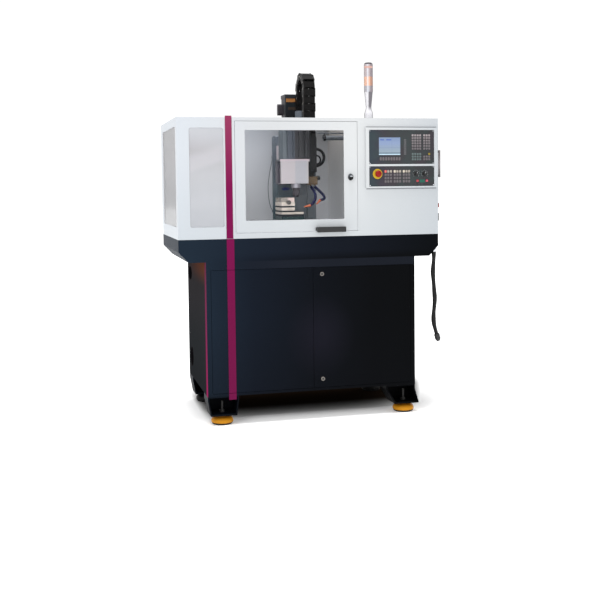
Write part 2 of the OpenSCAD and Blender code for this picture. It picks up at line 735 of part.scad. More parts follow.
module vice_jaw() color([0.76, 0.74, 0.69]) place() {
    difference() {
        union() {
            block(vice_x - jw, vice_x + jw, vy + 14, vy + 62, vice_z + 108, vice_z + 135);
            block(vice_x - 14.5, vice_x + 14.5, vy + 22, vy + 58, vice_z + 91, vice_z + 109);
        }
        rod_y(vice_x, vy, vy + 70, vice_screw_z, 9 + run);
    }
}
module vice_screw() color([0.45, 0.44, 0.43]) place() {
    rod_y(vice_x, vy - 6, vy + 130, vice_screw_z, 9);
    difference() {
        rod_y(vice_x, vy - 20, vy - 1, vice_screw_z, 13);
        translate([vice_x, vy - 21, vice_screw_z]) rotate([-90, 0, 0]) cylinder(h = 9, r = 7, $fn = 6);
    }
}

// One link of the chain, centred, running along Z
module chain_link(inset, length) {
    w = chain_width / 2;
    h = chain_height / 2;
    for (s = [-1, 1]) translate([s * (w - inset) - (s > 0 ? 8 : 0), -h + inset, -length / 2 - 3])
        cube([8, chain_height - 2 * inset, length + 6]);
    // The front lid nearly meets the next one, the rear one leaves room for the bend
    translate([-w + inset + 1, -h + inset, 3 - length / 2]) cube([chain_width - 2 * inset - 2, 4, length - 6]);
    translate([-w + inset + 1, h - inset - 4, -12]) cube([chain_width - 2 * inset - 2, 4, 24]);
}
module energy_chain() color([0.05, 0.05, 0.06]) place() {
    cx = (chain_x0 + chain_x1) / 2;
    p = link_pitch;
    for (i = [0:link_count - 1]) translate([cx, bend_y - bend_r, bend_height - (i + 0.5) * p])
        chain_link(i % 2 == 0 ? 0 : 2.5, p);
    for (i = [0:rear_count - 1]) translate([cx, bend_y + bend_r, bend_height - (i + 0.5) * p])
        chain_link(i % 2 == 0 ? 2.5 : 0, p);
    for (i = [0:5]) translate([cx, bend_y, bend_height]) rotate([-(15 + i * 30), 0, 0])
        translate([0, -bend_r, 0]) chain_link(i % 2 == 0 ? 2.5 : 0, 2 * bend_r * sin(15));
}

// Conduit that loops out of the chain channel
module conduit_loop() color([0.05, 0.05, 0.06]) place() {
    x = slot_x1 + 3;
    z = head_z + 168;
    translate([x + 2, front_strand + 20, z]) rotate([90, 0, 0]) rotate([0, 0, -90])
        rotate_extrude(angle = 180, $fn = 64) translate([52, 0]) circle(r = 9, $fn = 24);
    for (s = [-52, 52]) rod_x(x, x + 2, front_strand + 20, z + s, 9);
}

// Coolant block, valve knob, hoses and nozzles
block_y = spindle_y - 33;
module coolant_block() color([0.72, 0.50, 0.20]) place() {
    difference() {
        block(head_x1, head_x1 + 56, block_y, block_y + 50, head_z - 3, head_z + 47);
        rod_x(head_x1 + 40, head_x1 + 57, block_y + 25, head_z + 39, 3 + run);
    }
    for (x = [16, 42]) rod_z(head_x1 + x, block_y + 20, head_z - 11, head_z - 2, 6);
}
module valve_knob() color([0.06, 0.06, 0.07]) place() {
    rod_x(head_x1 + 44, head_x1 + 60, block_y + 25, head_z + 39, 3);
    rod_x(head_x1 + 57, head_x1 + 76, block_y + 25, head_z + 39, 13);
}

// Round section of changing radius, carried along a line of centres
function unit(v) = v / norm(v);
function line_dir(line, i) = unit(line[min(i + 1, len(line) - 1)] - line[max(i - 1, 0)]);
function ring(c, d, r, sides, up) = let (a = unit(cross(up, d)), b = cross(d, a))
    [for (k = [0:sides - 1]) c + r * (a * cos(360 * k / sides) + b * sin(360 * k / sides))];
module swept(line, radii, sides, up) {
    last = len(line) - 1;
    points = [for (i = [0:last]) each ring(line[i], line_dir(line, i), radii[i], sides, up)];
    start = [for (k = [0:sides - 1]) k];
    end = [for (k = [sides - 1:-1:0]) last * sides + k];
    skin = [for (i = [0:last - 1], k = [0:sides - 1])
        let (n = (k + 1) % sides, a = i * sides, b = a + sides) [a + k, b + k, b + n, a + n]];
    polyhedron(points = points, faces = concat([start], skin, [end]), convexity = 4);
}

// Points on a smooth curve through four guide points
function curve(p, t) = pow(1 - t, 3) * p[0] + 3 * t * pow(1 - t, 2) * p[1] + 3 * t * t * (1 - t) * p[2]
    + pow(t, 3) * p[3];
hose_a = [[16, 20, -14], [46, -30, -60], [24, -96, -98], [-17, -98, -127]];
hose_b = [[42, 20, -14], [100, -16, -74], [92, -90, -90], [44, -98, -96]];
module at_hose() { translate([head_x1, block_y, head_z]) children(); }
hose_r = 8.5;
hose_up = [0, 0, 1];
// Centres and radii of the beads that a segmented hose is made of
function bead_line(p, n) = concat([for (i = [0:n - 1], t = [0, 0.22, 0.78]) curve(p, (i + t) / n)], [p[3]]);
function bead_radii(n) = concat([for (i = [0:n - 1], r = [hose_r - 2, hose_r, hose_r]) r], [hose_r - 2]);
module coolant_hoses() color([0.12, 0.17, 0.50]) place() at_hose() {
    swept(bead_line(hose_a, 15), bead_radii(15), 10, hose_up);
    swept(bead_line(hose_b, 19), bead_radii(19), 10, hose_up);
}
module nozzles() color([0.90, 0.42, 0.16]) place() at_hose() {
    translate(hose_a[3]) rotate([0, -102, 0]) cylinder(h = 40, r1 = 8, r2 = 3.5, $fn = 32);
    translate(hose_b[3]) rotate([0, -136, 0]) cylinder(h = 34, r1 = 8, r2 = 3.5, $fn = 32);
}

// Tank with its pump inside the cabinet
module coolant_tank() color([0.35, 0.37, 0.40]) place() {
    z0 = cabinet_bottom + wall;
    difference() {
        block(60, cw - 60, 70, 560, z0, z0 + 330);
        block(64, cw - 64, 74, 556, z0 + 4, z0 + 326);
        block(64, 340, 74, 556, z0 + 4, z0 + 331);
    }
    rod_z(450, 300, z0 + 330, z0 + 346, 75);
    rod_z(450, 300, z0 + 346, z0 + 470, 55);
}

// Cord gland under the sloped tray corner
module cord_gland() color([0.70, 0.71, 0.73]) place() {
    difference() {
        union() {
            rod_z(cord_x, cord_y, gland_z, gland_z + 60, cord_r + 2);
            translate([cord_x, cord_y, gland_z + 4]) cylinder(h = 50, r = cord_r + 6, $fn = 6);
        }
        tray_outer(-50, 100);
    }
}

// Wrapped cord swept along its route
module cord() color([0.05, 0.05, 0.05]) place() translate([cord_x, cord_y, gland_z]) {
    swept(route, [for (p = route) cord_r], 10, [0, 1, 0]);
}

// Plug at the free end of the cord
module cord_plug() color([0.06, 0.06, 0.06]) place() translate([cord_x, cord_y, gland_z]) {
    last = route[len(route) - 1];
    d = line_dir(route, len(route) - 1);
    translate(last) rotate([0, acos(d[2]), atan2(d[1], d[0])]) rotate_extrude($fn = 48)
        polygon([[0, 0], [cord_r + 2, 0], [cord_r + 4, 8], [cord_r + 4, 30], [cord_r - 2, 42], [0, 46]]);
}

cabinet();
stand_door_left();
stand_door_right();
upper_lock();
lower_lock();
foot_brackets();
levelling_bolts();
mount_caps();
mount_pads();
chip_tray();
enclosure();
control_housing();
fixed_windows();
accent_strips();
door_strip();
door_frame();
door_window();
door_handle();
latch_knob();
control_bezel();
operator_panel();
machine_panel();
screen();
panel_keys();
machine_keys();
lamp_keys();
estop_collar();
estop_button();
feed_knob();
spindle_knob();
side_handle();
side_sockets();
main_switch();
tower_stem();
tower_clear_lenses();
tower_amber_lens();
tower_cap();
work_lamp();
machine_bed();
column();
head();
head_guard();
motor_shroud();
spindle();
z_motor();
saddle();
table();
vice_base();
vice_jaw();
vice_screw();
energy_chain();
conduit_loop();
coolant_block();
valve_knob();
coolant_hoses();
nozzles();
coolant_tank();
cord_gland();
cord();
cord_plug();
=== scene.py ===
import math

import bmesh
import bpy
import numpy as np
from mathutils import Matrix


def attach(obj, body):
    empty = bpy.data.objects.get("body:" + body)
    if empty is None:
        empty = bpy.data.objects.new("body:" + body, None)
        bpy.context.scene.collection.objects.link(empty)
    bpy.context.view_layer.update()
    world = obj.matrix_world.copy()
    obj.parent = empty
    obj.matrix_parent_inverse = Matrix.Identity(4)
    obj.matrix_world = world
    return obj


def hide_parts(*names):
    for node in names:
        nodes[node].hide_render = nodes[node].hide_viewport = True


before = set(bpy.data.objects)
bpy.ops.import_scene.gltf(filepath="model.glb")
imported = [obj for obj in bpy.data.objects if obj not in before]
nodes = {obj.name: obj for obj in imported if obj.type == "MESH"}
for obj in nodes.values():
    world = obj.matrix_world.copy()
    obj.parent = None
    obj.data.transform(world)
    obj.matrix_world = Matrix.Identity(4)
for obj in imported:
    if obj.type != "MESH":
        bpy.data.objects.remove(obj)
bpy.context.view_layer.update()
origin = np.array([20.0, 382.0, 0.0])  # the shared frame's zero, in the machine's own millimetres


# Meshes: a shape is a pair, its points in the machine's millimetres and its faces, until it becomes a piece

outward = (0, -1, 0)
upward = (0, 0, 1)


def joined(*shapes):
    # one shape out of several: points end to end, face numbers moved along
    shift = np.cumsum([0] + [len(points) for points, faces in shapes])
    faces = [(np.asarray(face) + s).tolist() for (points, own), s in zip(shapes, shift) for face in own]
    return np.concatenate([points for points, own in shapes]), faces


def gridFaces(rows, columns, wrap=True):
    # four-sided faces between neighbouring rows and columns of points, columns closed to a ring where wrap
    r = np.arange(rows - 1)[:, None] * columns
    c = np.arange(columns if wrap else columns - 1)[None, :]
    n = (c + 1) % columns
    return np.stack([r + c, r + n, r + columns + n, r + columns + c], -1).reshape(-1, 4)


def axesAcross(axis):
    # two unit directions square to an axis and to each other
    axis = np.asarray(axis, float) / np.linalg.norm(axis)
    first = np.cross(axis, [0, 0, 1] if abs(axis[2]) < 0.9 else [1, 0, 0])
    first /= np.linalg.norm(first)
    return axis, first, np.cross(axis, first)


def turned(profile, centre, axis, sides=48, flutes=0, depth=0.0):
    # point(row, angle) = centre + radius * (cos, sin) across the axis + height along it;
    # flutes pull the radius in by depth that many times round
    profile = np.asarray(profile, float)
    axis, first, second = axesAcross(axis)
    angle = np.arange(sides) * 2 * math.pi / sides
    radius = profile[:, :1] - depth * (0.5 - 0.5 * np.cos(angle * flutes)) * (profile[:, :1] > depth * 2)
    across = np.cos(angle)[:, None] * first + np.sin(angle)[:, None] * second
    points = np.asarray(centre, float) + radius[..., None] * across + profile[:, 1][:, None, None] * axis
    return points.reshape(-1, 3), gridFaces(len(profile), sides)


def smoothLine(points, steps):
    # smooth curve that passes through the points: a cubic in t on each stretch, so many steps to each
    p = np.asarray(points, float)
    p = np.concatenate([2 * p[:1] - p[1:2], p, 2 * p[-1:] - p[-2:-1]])
    t = (np.arange(steps) / steps)[:, None]
    a, b, c, d = (p[i:len(p) - 3 + i][:, None] for i in range(4))
    square = 2 * a - 5 * b + 4 * c - d
    cube = 3 * b - a - 3 * c + d
    line = 0.5 * (2 * b + (c - a) * t + square * t ** 2 + cube * t ** 3)
    return np.concatenate([line.reshape(-1, 3), p[-2:-1]])


def swept(line, radius, sides=16, reference=(0, 1, 0), twist=None):
    # tube: ring of points at radius(row, angle) round each point of the line, ends drawn to a point
    line = np.asarray(line, float)
    ahead = np.gradient(line, axis=0)
    ahead /= np.linalg.norm(ahead, axis=1)[:, None]
    side = np.cross(np.asarray(reference, float), ahead)
    side /= np.linalg.norm(side, axis=1)[:, None]
    up = np.cross(ahead, side)
    angle = np.arange(sides) * 2 * math.pi / sides
    radius = np.broadcast_to(np.asarray(radius, float), (len(line), sides)) if twist is None else twist(angle)
    ring = np.cos(angle)[None, :, None] * side[:, None] + np.sin(angle)[None, :, None] * up[:, None]
    points = line[:, None] + radius[..., None] * ring
    ends = [np.repeat(line[i][None, None], sides, 1) for i in (0, -1)]
    points = np.concatenate([ends[0], points, ends[1]])
    return points.reshape(-1, 3), gridFaces(len(points), sides)


def blocks(boxes):
    # boxes, one row of x0, x1, y0, y1, z0, z1 each
    boxes = np.asarray(boxes, float).reshape(-1, 6)
    corner = np.array([[i, j, k] for i in (0, 1) for j in (0, 1) for k in (0, 1)])
    points = np.stack([boxes[:, [a]] * (1 - corner[:, n]) + boxes[:, [b]] * corner[:, n]
                       for n, (a, b) in enumerate(((0, 1), (2, 3), (4, 5)))], -1)
    face = np.array([[0, 1, 3, 2], [4, 6, 7, 5], [0, 4, 5, 1], [2, 3, 7, 6], [0, 2, 6, 4], [1, 5, 7, 3]])
    faces = (np.arange(len(boxes))[:, None, None] * 8 + face).reshape(-1, 4)
    return points.reshape(-1, 3), faces


def keyCaps(boxes, inset, dish):
    # key on each box: rings of a rounded rectangle, straight up, over a soft edge and into a shallow dish
    sides, squareness = 20, 0.86
    boxes = np.asarray(boxes, float)
    angle = np.arange(sides) * 2 * math.pi / sides
    ring = np.stack([np.cos(angle), np.sin(angle)], -1)
    ring /= np.abs(ring).max(1)[:, None] ** squareness
    half = (boxes[:, 1] - boxes[:, 0]) / 2
    middle = (boxes[:, 1] + boxes[:, 0]) / 2
    steps = [(1, 0, 0), (1, 0, 0.72), (1, inset * 0.4, 0.93), (1, inset, 1), (1, inset * 2.2, 1 - dish * 0.5),
             (0, 0, 1 - dish)]
    rows = []
    for share, pull, rise in steps:
        size = half[:, [0, 2]] * share - pull
        flat = middle[:, None, [0, 2]] + ring[None] * size[:, None]
        y = (boxes[:, 1, 1] - (boxes[:, 1, 1] - boxes[:, 0, 1]) * rise)[:, None]
        rows.append(np.stack([flat[..., 0], np.broadcast_to(y, flat.shape[:2]), flat[..., 1]], -1))
    points = np.stack(rows, 1)
    count = len(steps) * sides
    faces = np.arange(len(boxes))[:, None, None] * count + gridFaces(len(steps), sides)[None]
    return points.reshape(-1, 3), faces.reshape(-1, 4)


def makePiece(name, shape, look, body, stands=(), bevel=0.0, angle=40):
    # a mesh object in the shared frame: doubles merged, faces turned outwards, riding on its body
    points, faces = shape
    mesh = bpy.data.meshes.new(name)
    mesh.from_pydata(((np.asarray(points) - origin) * 0.001).tolist(), [], np.asarray(faces).tolist())
    work = bmesh.new()
    work.from_mesh(mesh)
    bmesh.ops.remove_doubles(work, verts=work.verts, dist=1e-6)
    bmesh.ops.dissolve_degenerate(work, edges=work.edges, dist=1e-7)
    bmesh.ops.recalc_face_normals(work, faces=work.faces)
    work.to_mesh(mesh)
    work.free()
    mesh.shade_smooth()
    mesh.set_sharp_from_angle(angle=math.radians(angle))
    mesh.materials.append(look)
    piece = bpy.data.objects.new(name, mesh)
    bpy.context.scene.collection.objects.link(piece)
    if bevel:
        rounding = piece.modifiers.new("rounding", "BEVEL")
        rounding.width, rounding.segments, rounding.limit_method = bevel * 0.001, 3, "ANGLE"
    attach(piece, body)
    if stands:
        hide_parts(*stands)
    return piece


# Materials

class Wire:
    # one output in a material's nodes; arithmetic on it adds Math nodes
    def __init__(self, tree, socket):
        self.tree, self.socket = tree, socket

    def maths(self, operation, *values):
        return self.tree.node("ShaderNodeMath", {"operation": operation}, *values)

    def __add__(self, other):
        return self.maths("ADD", self, other)

    def __radd__(self, other):
        return self.maths("ADD", other, self)

    def __sub__(self, other):
        return self.maths("SUBTRACT", self, other)

    def __rsub__(self, other):
        return self.maths("SUBTRACT", other, self)

    def __mul__(self, other):
        return self.maths("MULTIPLY", self, other)

    def __rmul__(self, other):
        return self.maths("MULTIPLY", other, self)

    def __truediv__(self, other):
        return self.maths("DIVIDE", self, other)

    def __rtruediv__(self, other):
        return self.maths("DIVIDE", other, self)

    def __gt__(self, other):
        return self.maths("GREATER_THAN", self, other)

    def __lt__(self, other):
        return self.maths("LESS_THAN", self, other)

    def wave(self):
        return self.maths("SINE", self)

    def power(self, exponent):
        return self.maths("POWER", self, exponent)

    def between(self, low, high):
        # 1 inside the two limits, 0 outside
        return (self > low) * (self < high)

    def ramp(self, low, high):
        # 0 below low, 1 above high, smooth between
        return self.tree.node("ShaderNodeMapRange", {"interpolation_type": "SMOOTHSTEP"}, self, low, high)

    def rise(self, low, high):
        # 0 below low, 1 above high, straight between
        return self.tree.node("ShaderNodeMapRange", {}, self, low, high)


class Tree:
    # a material's nodes round one Principled shader
    def __init__(self, name):
        self.material = bpy.data.materials.new(name)
        self.material.use_nodes = True
        self.nodes, self.links = self.material.node_tree.nodes, self.material.node_tree.links
        self.nodes.clear()
        self.shader = self.nodes.new("ShaderNodeBsdfPrincipled")
        out = self.nodes.new("ShaderNodeOutputMaterial")
        self.links.new(self.shader.outputs[0], out.inputs[0])

    def plug(self, socket, value):
        # a wire is linked to the socket, a number or colour is set on it
        if isinstance(value, Wire):
            self.links.new(value.socket, socket)
        elif value is not None:
            socket.default_value = value

    def node(self, kind, settings, *values, out=0, **named):
        # any node: its settings first, then its sockets in order or by name
        made = self.nodes.new(kind)
        for key, value in settings.items():
            setattr(made, key, value)
        for socket, value in zip(made.inputs, values):
            self.plug(socket, value)
        for key, value in named.items():
            self.plug(made.inputs[key], value)
        return Wire(self, made.outputs[out])

    def place(self):
        return self.node("ShaderNodeTexCoord", {}, out="Object")

    def axes(self):
        parts = self.node("ShaderNodeSeparateXYZ", {}, self.place()).socket.node
        return [Wire(self, socket) for socket in parts.outputs]

    def stretched(self, x, y, z):
        # places scaled along each axis, so that a pattern on them runs in lines
        return self.node("ShaderNodeVectorMath", {"operation": "MULTIPLY"}, self.place(), (x, y, z))

    def noise(self, scale, detail=2.0, where=None):
        where = where or self.place()
        return self.node("ShaderNodeTexNoise", {}, where, Scale=scale, Detail=detail, out="Fac")

    def facing(self, amount):
        # 0 where the surface looks at the viewer, 1 at its outline
        return self.node("ShaderNodeLayerWeight", {}, Blend=amount, out="Facing")

    def tones(self, share, *codes):
        # even steps through several colours as share runs from 0 to 1
        steps = len(codes) - 1
        mixed = colour(codes[0])
        for i, code in enumerate(codes[1:]):
            mixed = self.blend(share.rise(i / steps, (i + 1) / steps), mixed, colour(code))
        return mixed

    def blend(self, share, first, second):
        mixed = self.nodes.new("ShaderNodeMix")
        mixed.data_type = "RGBA"
        for socket, value in zip((mixed.inputs[0], mixed.inputs[6], mixed.inputs[7]), (share, first, second)):
            self.plug(socket, value)
        return Wire(self, mixed.outputs[2])

    def bump(self, height, distance, strength=1.0):
        return self.node("ShaderNodeBump", {}, Strength=strength, Distance=distance, Height=height,
                         out="Normal")


def colour(code):
    # linear colour of six hexadecimal digits
    parts = [int(code[i:i + 2], 16) / 255 for i in (0, 2, 4)]
    return tuple(p / 12.92 if p <= 0.04045 else ((p + 0.055) / 1.055) ** 2.4 for p in parts) + (1.0,)


def makeLook(name, fixed, varying):
    # a material: fixed numbers straight on the shader, varying ones worked out in its nodes;
    # where "Matte" is 1 a second shader without any gloss takes over
    tree = Tree(name)
    values = varying(tree)
    matte = values.pop("Matte", None)
    for key, value in {**fixed, **values}.items():
        tree.plug(tree.shader.inputs[key], value)
    if matte is not None:
        dull = tree.nodes.new("ShaderNodeBsdfDiffuse")
        tree.plug(dull.inputs["Color"], values["Base Color"])
        mixed = tree.nodes.new("ShaderNodeMixShader")
        tree.plug(mixed.inputs[0], matte)
        tree.links.new(tree.shader.outputs[0], mixed.inputs[1])
        tree.links.new(dull.outputs[0], mixed.inputs[2])
        tree.links.new(mixed.outputs[0], tree.nodes["Material Output"].inputs[0])
    return tree.material


def paintLook(name, light, dark, roughness):
    # powder coat: slow drift between two tones, a fine orange-peel bump and slightly uneven gloss
    def varying(tree):
        cloud = tree.noise(1.7, 3.0).ramp(0.3, 0.7)
        grain = tree.noise(520.0, 2.0)
        return {"Base Color": tree.blend(cloud, colour(dark), colour(light)),
                "Roughness": roughness - 0.04 + 0.08 * cloud + 0.05 * (grain - 0.5),
                "Normal": tree.bump(grain, 0.00012)}
    return makeLook(name, {}, varying)


def metalLook(name, tone, roughness, stretch=(900, 900, 30), depth=0.00004, metallic=1.0, stain=0.15):
    # machined metal: fine lines along one direction, cloudy stains in tone and gloss
    def varying(tree):
        lines = tree.noise(1.0, 3.0, tree.stretched(*stretch))
        cloud = tree.noise(14.0, 3.0)
        darker = tuple(c * (1 - stain) for c in colour(tone)[:3]) + (1.0,)
        return {"Base Color": tree.blend(cloud, darker, colour(tone)),
                "Roughness": roughness - 0.06 + 0.12 * lines + 0.06 * (cloud - 0.5),
                "Normal": tree.bump(lines, depth)}
    return makeLook(name, {"Metallic": metallic}, varying)


def castLook(name, light, dark, roughness, specular=0.5):
    # filled and enamelled casting: broad pits under a soft gloss, darker towards the low places
    def varying(tree):
        pits = tree.noise(95.0, 4.0)
        cloud = tree.noise(4.0, 3.0)
        depth = (cloud * 0.7 + pits * 0.3).ramp(0.3, 0.7)
        return {"Base Color": tree.blend(depth, colour(dark), colour(light)),
                "Roughness": roughness + 0.12 * (pits - 0.5),
                "Normal": tree.bump(pits, 0.0005, 0.7)}
    return makeLook(name, {"Specular IOR Level": specular}, varying)


def plasticLook(name, light, dark, roughness, specular=0.5, scale=30.0):
    # moulded plastic: very fine grain, slight drift in tone
    def varying(tree):
        fine = tree.noise(1100.0, 1.0)
        cloud = tree.noise(scale, 2.0)
        return {"Base Color": tree.blend(cloud, colour(dark), colour(light)),
                "Roughness": roughness + 0.1 * (fine - 0.5) + 0.06 * (cloud - 0.5),
                "Normal": tree.bump(fine, 0.00008)}
    return makeLook(name, {"Specular IOR Level": specular}, varying)


def whiteVarying(tree):
    # white powder coat with painted light and shade: bluer to the left, darker to the right and a little
    # duller low down,
    # and two painted shadow lines at the control panel's bezel; inside the housing painted light and shade as
    # well:
    # pale low down, greyer towards the right and the top, paler on its right wall
    x, y, z = tree.axes()
    cloud = tree.noise(1.7, 3.0)
    grain = tree.noise(520.0, 2.0)
    # painted light and shade outside: bluer to the left, darker to the right, duller low down
    outer = tree.tones(x.rise(-0.82, 0.78), "B3B8BE", "B3B5B7", "BCBEBF", "AAAEB2")
    outer = tree.blend((1.0 - z.rise(1.05, 1.6)) * 0.5, outer, colour("9FA6AB"))
    # painted shadow lines above and below the control panel's bezel
    bezelShadow = z.between(1.739, 1.7445) + z.between(1.3705, 1.377)
    bezelShadow = bezelShadow * y.between(-0.383, -0.3815) * x.between(0.316, 0.762)
    outer = tree.blend(bezelShadow * 0.75, outer, colour("55555C"))
    within = x.between(-0.8135, 0.3112) * y.between(-0.3805, 0.4185) * z.between(1.0, 1.794)
    # painted light and shade inside the housing: pale low down, greyer to the right and the top, paler right
    # wall
    inner = tree.tones(x.rise(-0.7, 0.25), "D9D9DC", "D4D5D9", "C3C7CF", "B4B8C0", "9A9C9F")
    inner = tree.blend(z.rise(1.75, 1.20) * 0.95, inner, colour("FAFBFF"))
    inner = tree.blend(x > 0.305, inner, tree.tones(z.rise(1.15, 1.75), "F4F5F8", "D6D6D6", "BCB7B3"))
    tone = tree.blend(within, outer, inner)
    return {"Base Color": tree.blend(cloud * 0.06, tone, colour("9FA6AE")),
            "Roughness": 0.38 + 0.08 * cloud + 0.05 * (grain - 0.5), "Normal": tree.bump(grain, 0.00012)}


white = makeLook("whitePaint", {"Specular IOR Level": 0.35}, whiteVarying)


def navyVarying(tree):
    # dark powder coat with painted light and shade: bluer and lighter to the left, nearly black to the right,
    # a painted highlight on the rail under the tray, a painted soft sheen on the doors, painted shade low
    # down and near black at the very bottom; the cabinet's left side is the same coat painted as in other
    # light, grey, with a painted warm reflection at its top and a painted mauve highlight along its front
    # edge
    x, y, z = tree.axes()
    cloud = tree.noise(1.9, 3.0)
    grain = tree.noise(480.0, 2.0)
    # painted light: bluer and lighter to the left, nearly black to the right, on the cabinet and on the tray
    tone = tree.tones(x.rise(-0.75, 0.72), "17222E", "0D131D", "070A10", "030406", "020304")
    tray = tree.tones(x.rise(-0.8, 0.72), "17212C", "151D29", "121721", "05080D")
    tone = tree.blend(z.ramp(0.95, 1.02) * 0.55, tone, tray)
    # painted highlight on the rail under the tray
    tone = tree.blend(z.between(0.914, 0.961) * x.rise(-0.55, -0.2) * 0.55, tone, colour("1B1F28"))
    # painted soft sheen: a highlight on the doors
    sheen = 1.0 - (((x - 0.02) / 0.22).power(2.0) + ((z - 0.5) / 0.26).power(2.0)).power(0.5).rise(0.2, 1.0)
    tone = tree.blend(sheen * 0.6, tone, colour("171620"))
    # painted shade low down, near black at the very bottom and on the foot brackets
    tone = tree.blend((1.0 - z.rise(0.2, 0.6)) * 0.3, tone, colour("040508"))
    tone = tree.blend((1.0 - z.rise(0.13, 0.2)) * 0.75, tone, colour("030304"))
    # left side painted as the coat in other light: grey, a painted warm reflection on top, a painted mauve
    # highlight at its front edge
    side = (x < -0.6585) * (z < 0.9605) * (z > 0.174)
    grey = tree.tones(z.rise(0.2, 0.95), "202224", "232527", "29282A", "2A2829")
    grey = tree.blend(z.ramp(0.80, 0.95) * y.rise(0.35, -0.3), grey, colour("5A3526"))
    edge = tree.tones(z.rise(0.2, 0.95), "84204C", "6E2748", "5C2A3C")
    grey = tree.blend(y.rise(-0.328, -0.340), grey, edge)
    tone = tree.blend(side, tone, grey)
    return {"Base Color": tree.blend(cloud * 0.06, tone, colour("14171F")), "Matte": side,
            "Roughness": 0.46 + 0.08 * cloud + 0.06 * (grain - 0.5), "Normal": tree.bump(grain, 0.00012)}


navy = makeLook("navyPaint", {"Specular IOR Level": 0.035}, navyVarying)


def stripeVarying(tree):
    # magenta foil with painted light and shade: paler at its top, darker down the cabinet
    z = tree.axes()[2]
    grain = tree.noise(420.0, 2.0)
    tone = tree.tones(z.rise(0.2, 1.79), "5F0C39", "600B38", "660A3D", "6C0A40", "80304F")
    return {"Base Color": tree.blend(tree.noise(3.0) * 0.1, tone, colour("500830")),
            "Roughness": 0.42 + 0.1 * (grain - 0.5), "Normal": tree.bump(grain, 0.00006)}


magenta = makeLook("magentaStripe", {"Specular IOR Level": 0.05}, stripeVarying)


def mountVarying(tree):
    # amber paint on the front mounts, with painted shade browner towards the top; the rear mounts painted
    # black as shade
    y, z = tree.axes()[1:]
    cloud = tree.noise(9.0, 3.0)
    # painted shade: browner towards the top
    tone = tree.blend(z.rise(0.028, 0.048), colour("BC7F12"), colour("93590E"))
    tone = tree.blend(cloud * 0.3, tone, colour("8C540C"))
    # painted shade: the rear mounts black
    return {"Base Color": tree.blend(y.rise(0.1, 0.2), tone, colour("020202")),
            "Roughness": 0.4 + 0.1 * cloud, "Normal": tree.bump(tree.noise(300.0, 2.0), 0.0001)}


yellow = makeLook("yellowPaint", {"Specular IOR Level": 0.12}, mountVarying)
rubber = plasticLook("mountRubber", "1A1A1A", "101010", 0.8, specular=0.3)
boltSteel = metalLook("darkZinc", "242322", 0.5, (500, 500, 500), metallic=0.3)
lockSteel = metalLook("dullNickel", "77726D", 0.4, (300, 300, 300), metallic=0.5, stain=0.3)
chrome = metalLook("brightChrome", "C9CBD0", 0.12, (60, 60, 60), 0.00001, stain=0.05)
blackPlastic = plasticLook("blackPlastic", "0F1012", "08090A", 0.45)


def panelVarying(tree):
    # dark membrane: cooler at the left edge, faint teal and plum drifts, a green field between two lit keys
    x, y, z = tree.axes()
    drift = tree.noise(9.0, 2.0)
    fine = tree.noise(700.0, 1.0)
    tone = tree.tones(x.rise(0.33, 0.75), "272F3A", "302E32", "2F3032", "26292B")
    tone = tree.blend(drift.ramp(0.45, 0.7) * 0.5, tone, colour("2A3A3A"))
    tone = tree.blend(drift.ramp(0.55, 0.3) * 0.4, tone, colour("3A2B38"))
    tone = tree.blend(x.between(0.652, 0.686) * z.between(1.408, 1.426), tone, colour("1D5346"))
    return {"Base Color": tone, "Roughness": 0.5 + 0.1 * (fine - 0.5), "Normal": tree.bump(fine, 0.00005)}


panelGrey = makeLook("panelMembrane", {"Specular IOR Level": 0.25}, panelVarying)


def keyVarying(tree):
    # key caps by place: palest in the top row and beside the lamps, greenish cursor block, dull soft keys
    x, y, z = tree.axes()
    mark = tree.noise(160.0, 2.0)
    tone = tree.blend(z.rise(1.60, 1.70), colour("5E595C"), colour("7A7375"))
    tone = tree.blend((z > 1.684) * (x > 0.60), tone, colour("8C8486"))
    tone = tree.blend((z < 1.588) * (z > 1.53) * x.between(0.60, 0.668), tone, colour("546060"))
    tone = tree.blend(x.between(0.545, 0.58) * (z > 1.53), tone, colour("57575A"))
    tone = tree.blend((z > 1.464) * (z < 1.49), tone, colour("9A9288"))
    tone = tree.blend((z < 1.41) * (x > 0.60), tone, colour("343238"))
    tone = tree.blend(mark.ramp(0.5, 0.7) * 0.45, tone, colour("3F3B40"))
    return {"Base Color": tone, "Roughness": 0.5 + 0.1 * (mark - 0.5), "Normal": tree.bump(mark, 0.00003)}


keyGrey = makeLook("keyGrey", {"Specular IOR Level": 0.25}, keyVarying)
stopYellow = plasticLook("stopYellow", "BFA02A", "A98420", 0.4, specular=0.15)
stopRed = plasticLook("stopRed", "8E1008", "6A0B06", 0.35, specular=0.2)
socketRed = plasticLook("socketRed", "8E3029", "7A2520", 0.45)


def towerAcross(x, y):
    # metres to the right of the signal tower's axis, square to the side it shows in front
    return (x - 0.360) * 0.97 - (y + 0.302) * 0.245


def towerVarying(tree):
    # bright tube with painted light and shade: white to the left, grey right of the middle, darker towards
    # its outline
    x, y, z = tree.axes()
    u = towerAcross(x, y) / 0.024
    # painted light: white to the left, grey to the right
    tone = tree.blend(u.ramp(-0.25, 0.1) * z.rise(1.84, 1.87), colour("CFCED2"), colour("5F5C62"))
    # painted shade towards the outline
    tone = tree.blend(tree.facing(0.5).ramp(0.35, 0.8), tone, colour("3A343A"))
    tone = tree.blend(tree.noise(60.0, 2.0) * 0.12, tone, colour("8E8A90"))
    return {"Base Color": tone, "Roughness": 0.3 + 0.08 * tree.noise(200.0, 1.0)}


towerWhite = makeLook("towerTube", {"Specular IOR Level": 0.4}, towerVarying)
lampGrey = metalLook("lampAluminium", "6B7076", 0.32, (20, 700, 700), metallic=0.7)
bedGreen = castLook("bedEnamel", "2A3A3E", "1E2C30", 0.5, 0.3)


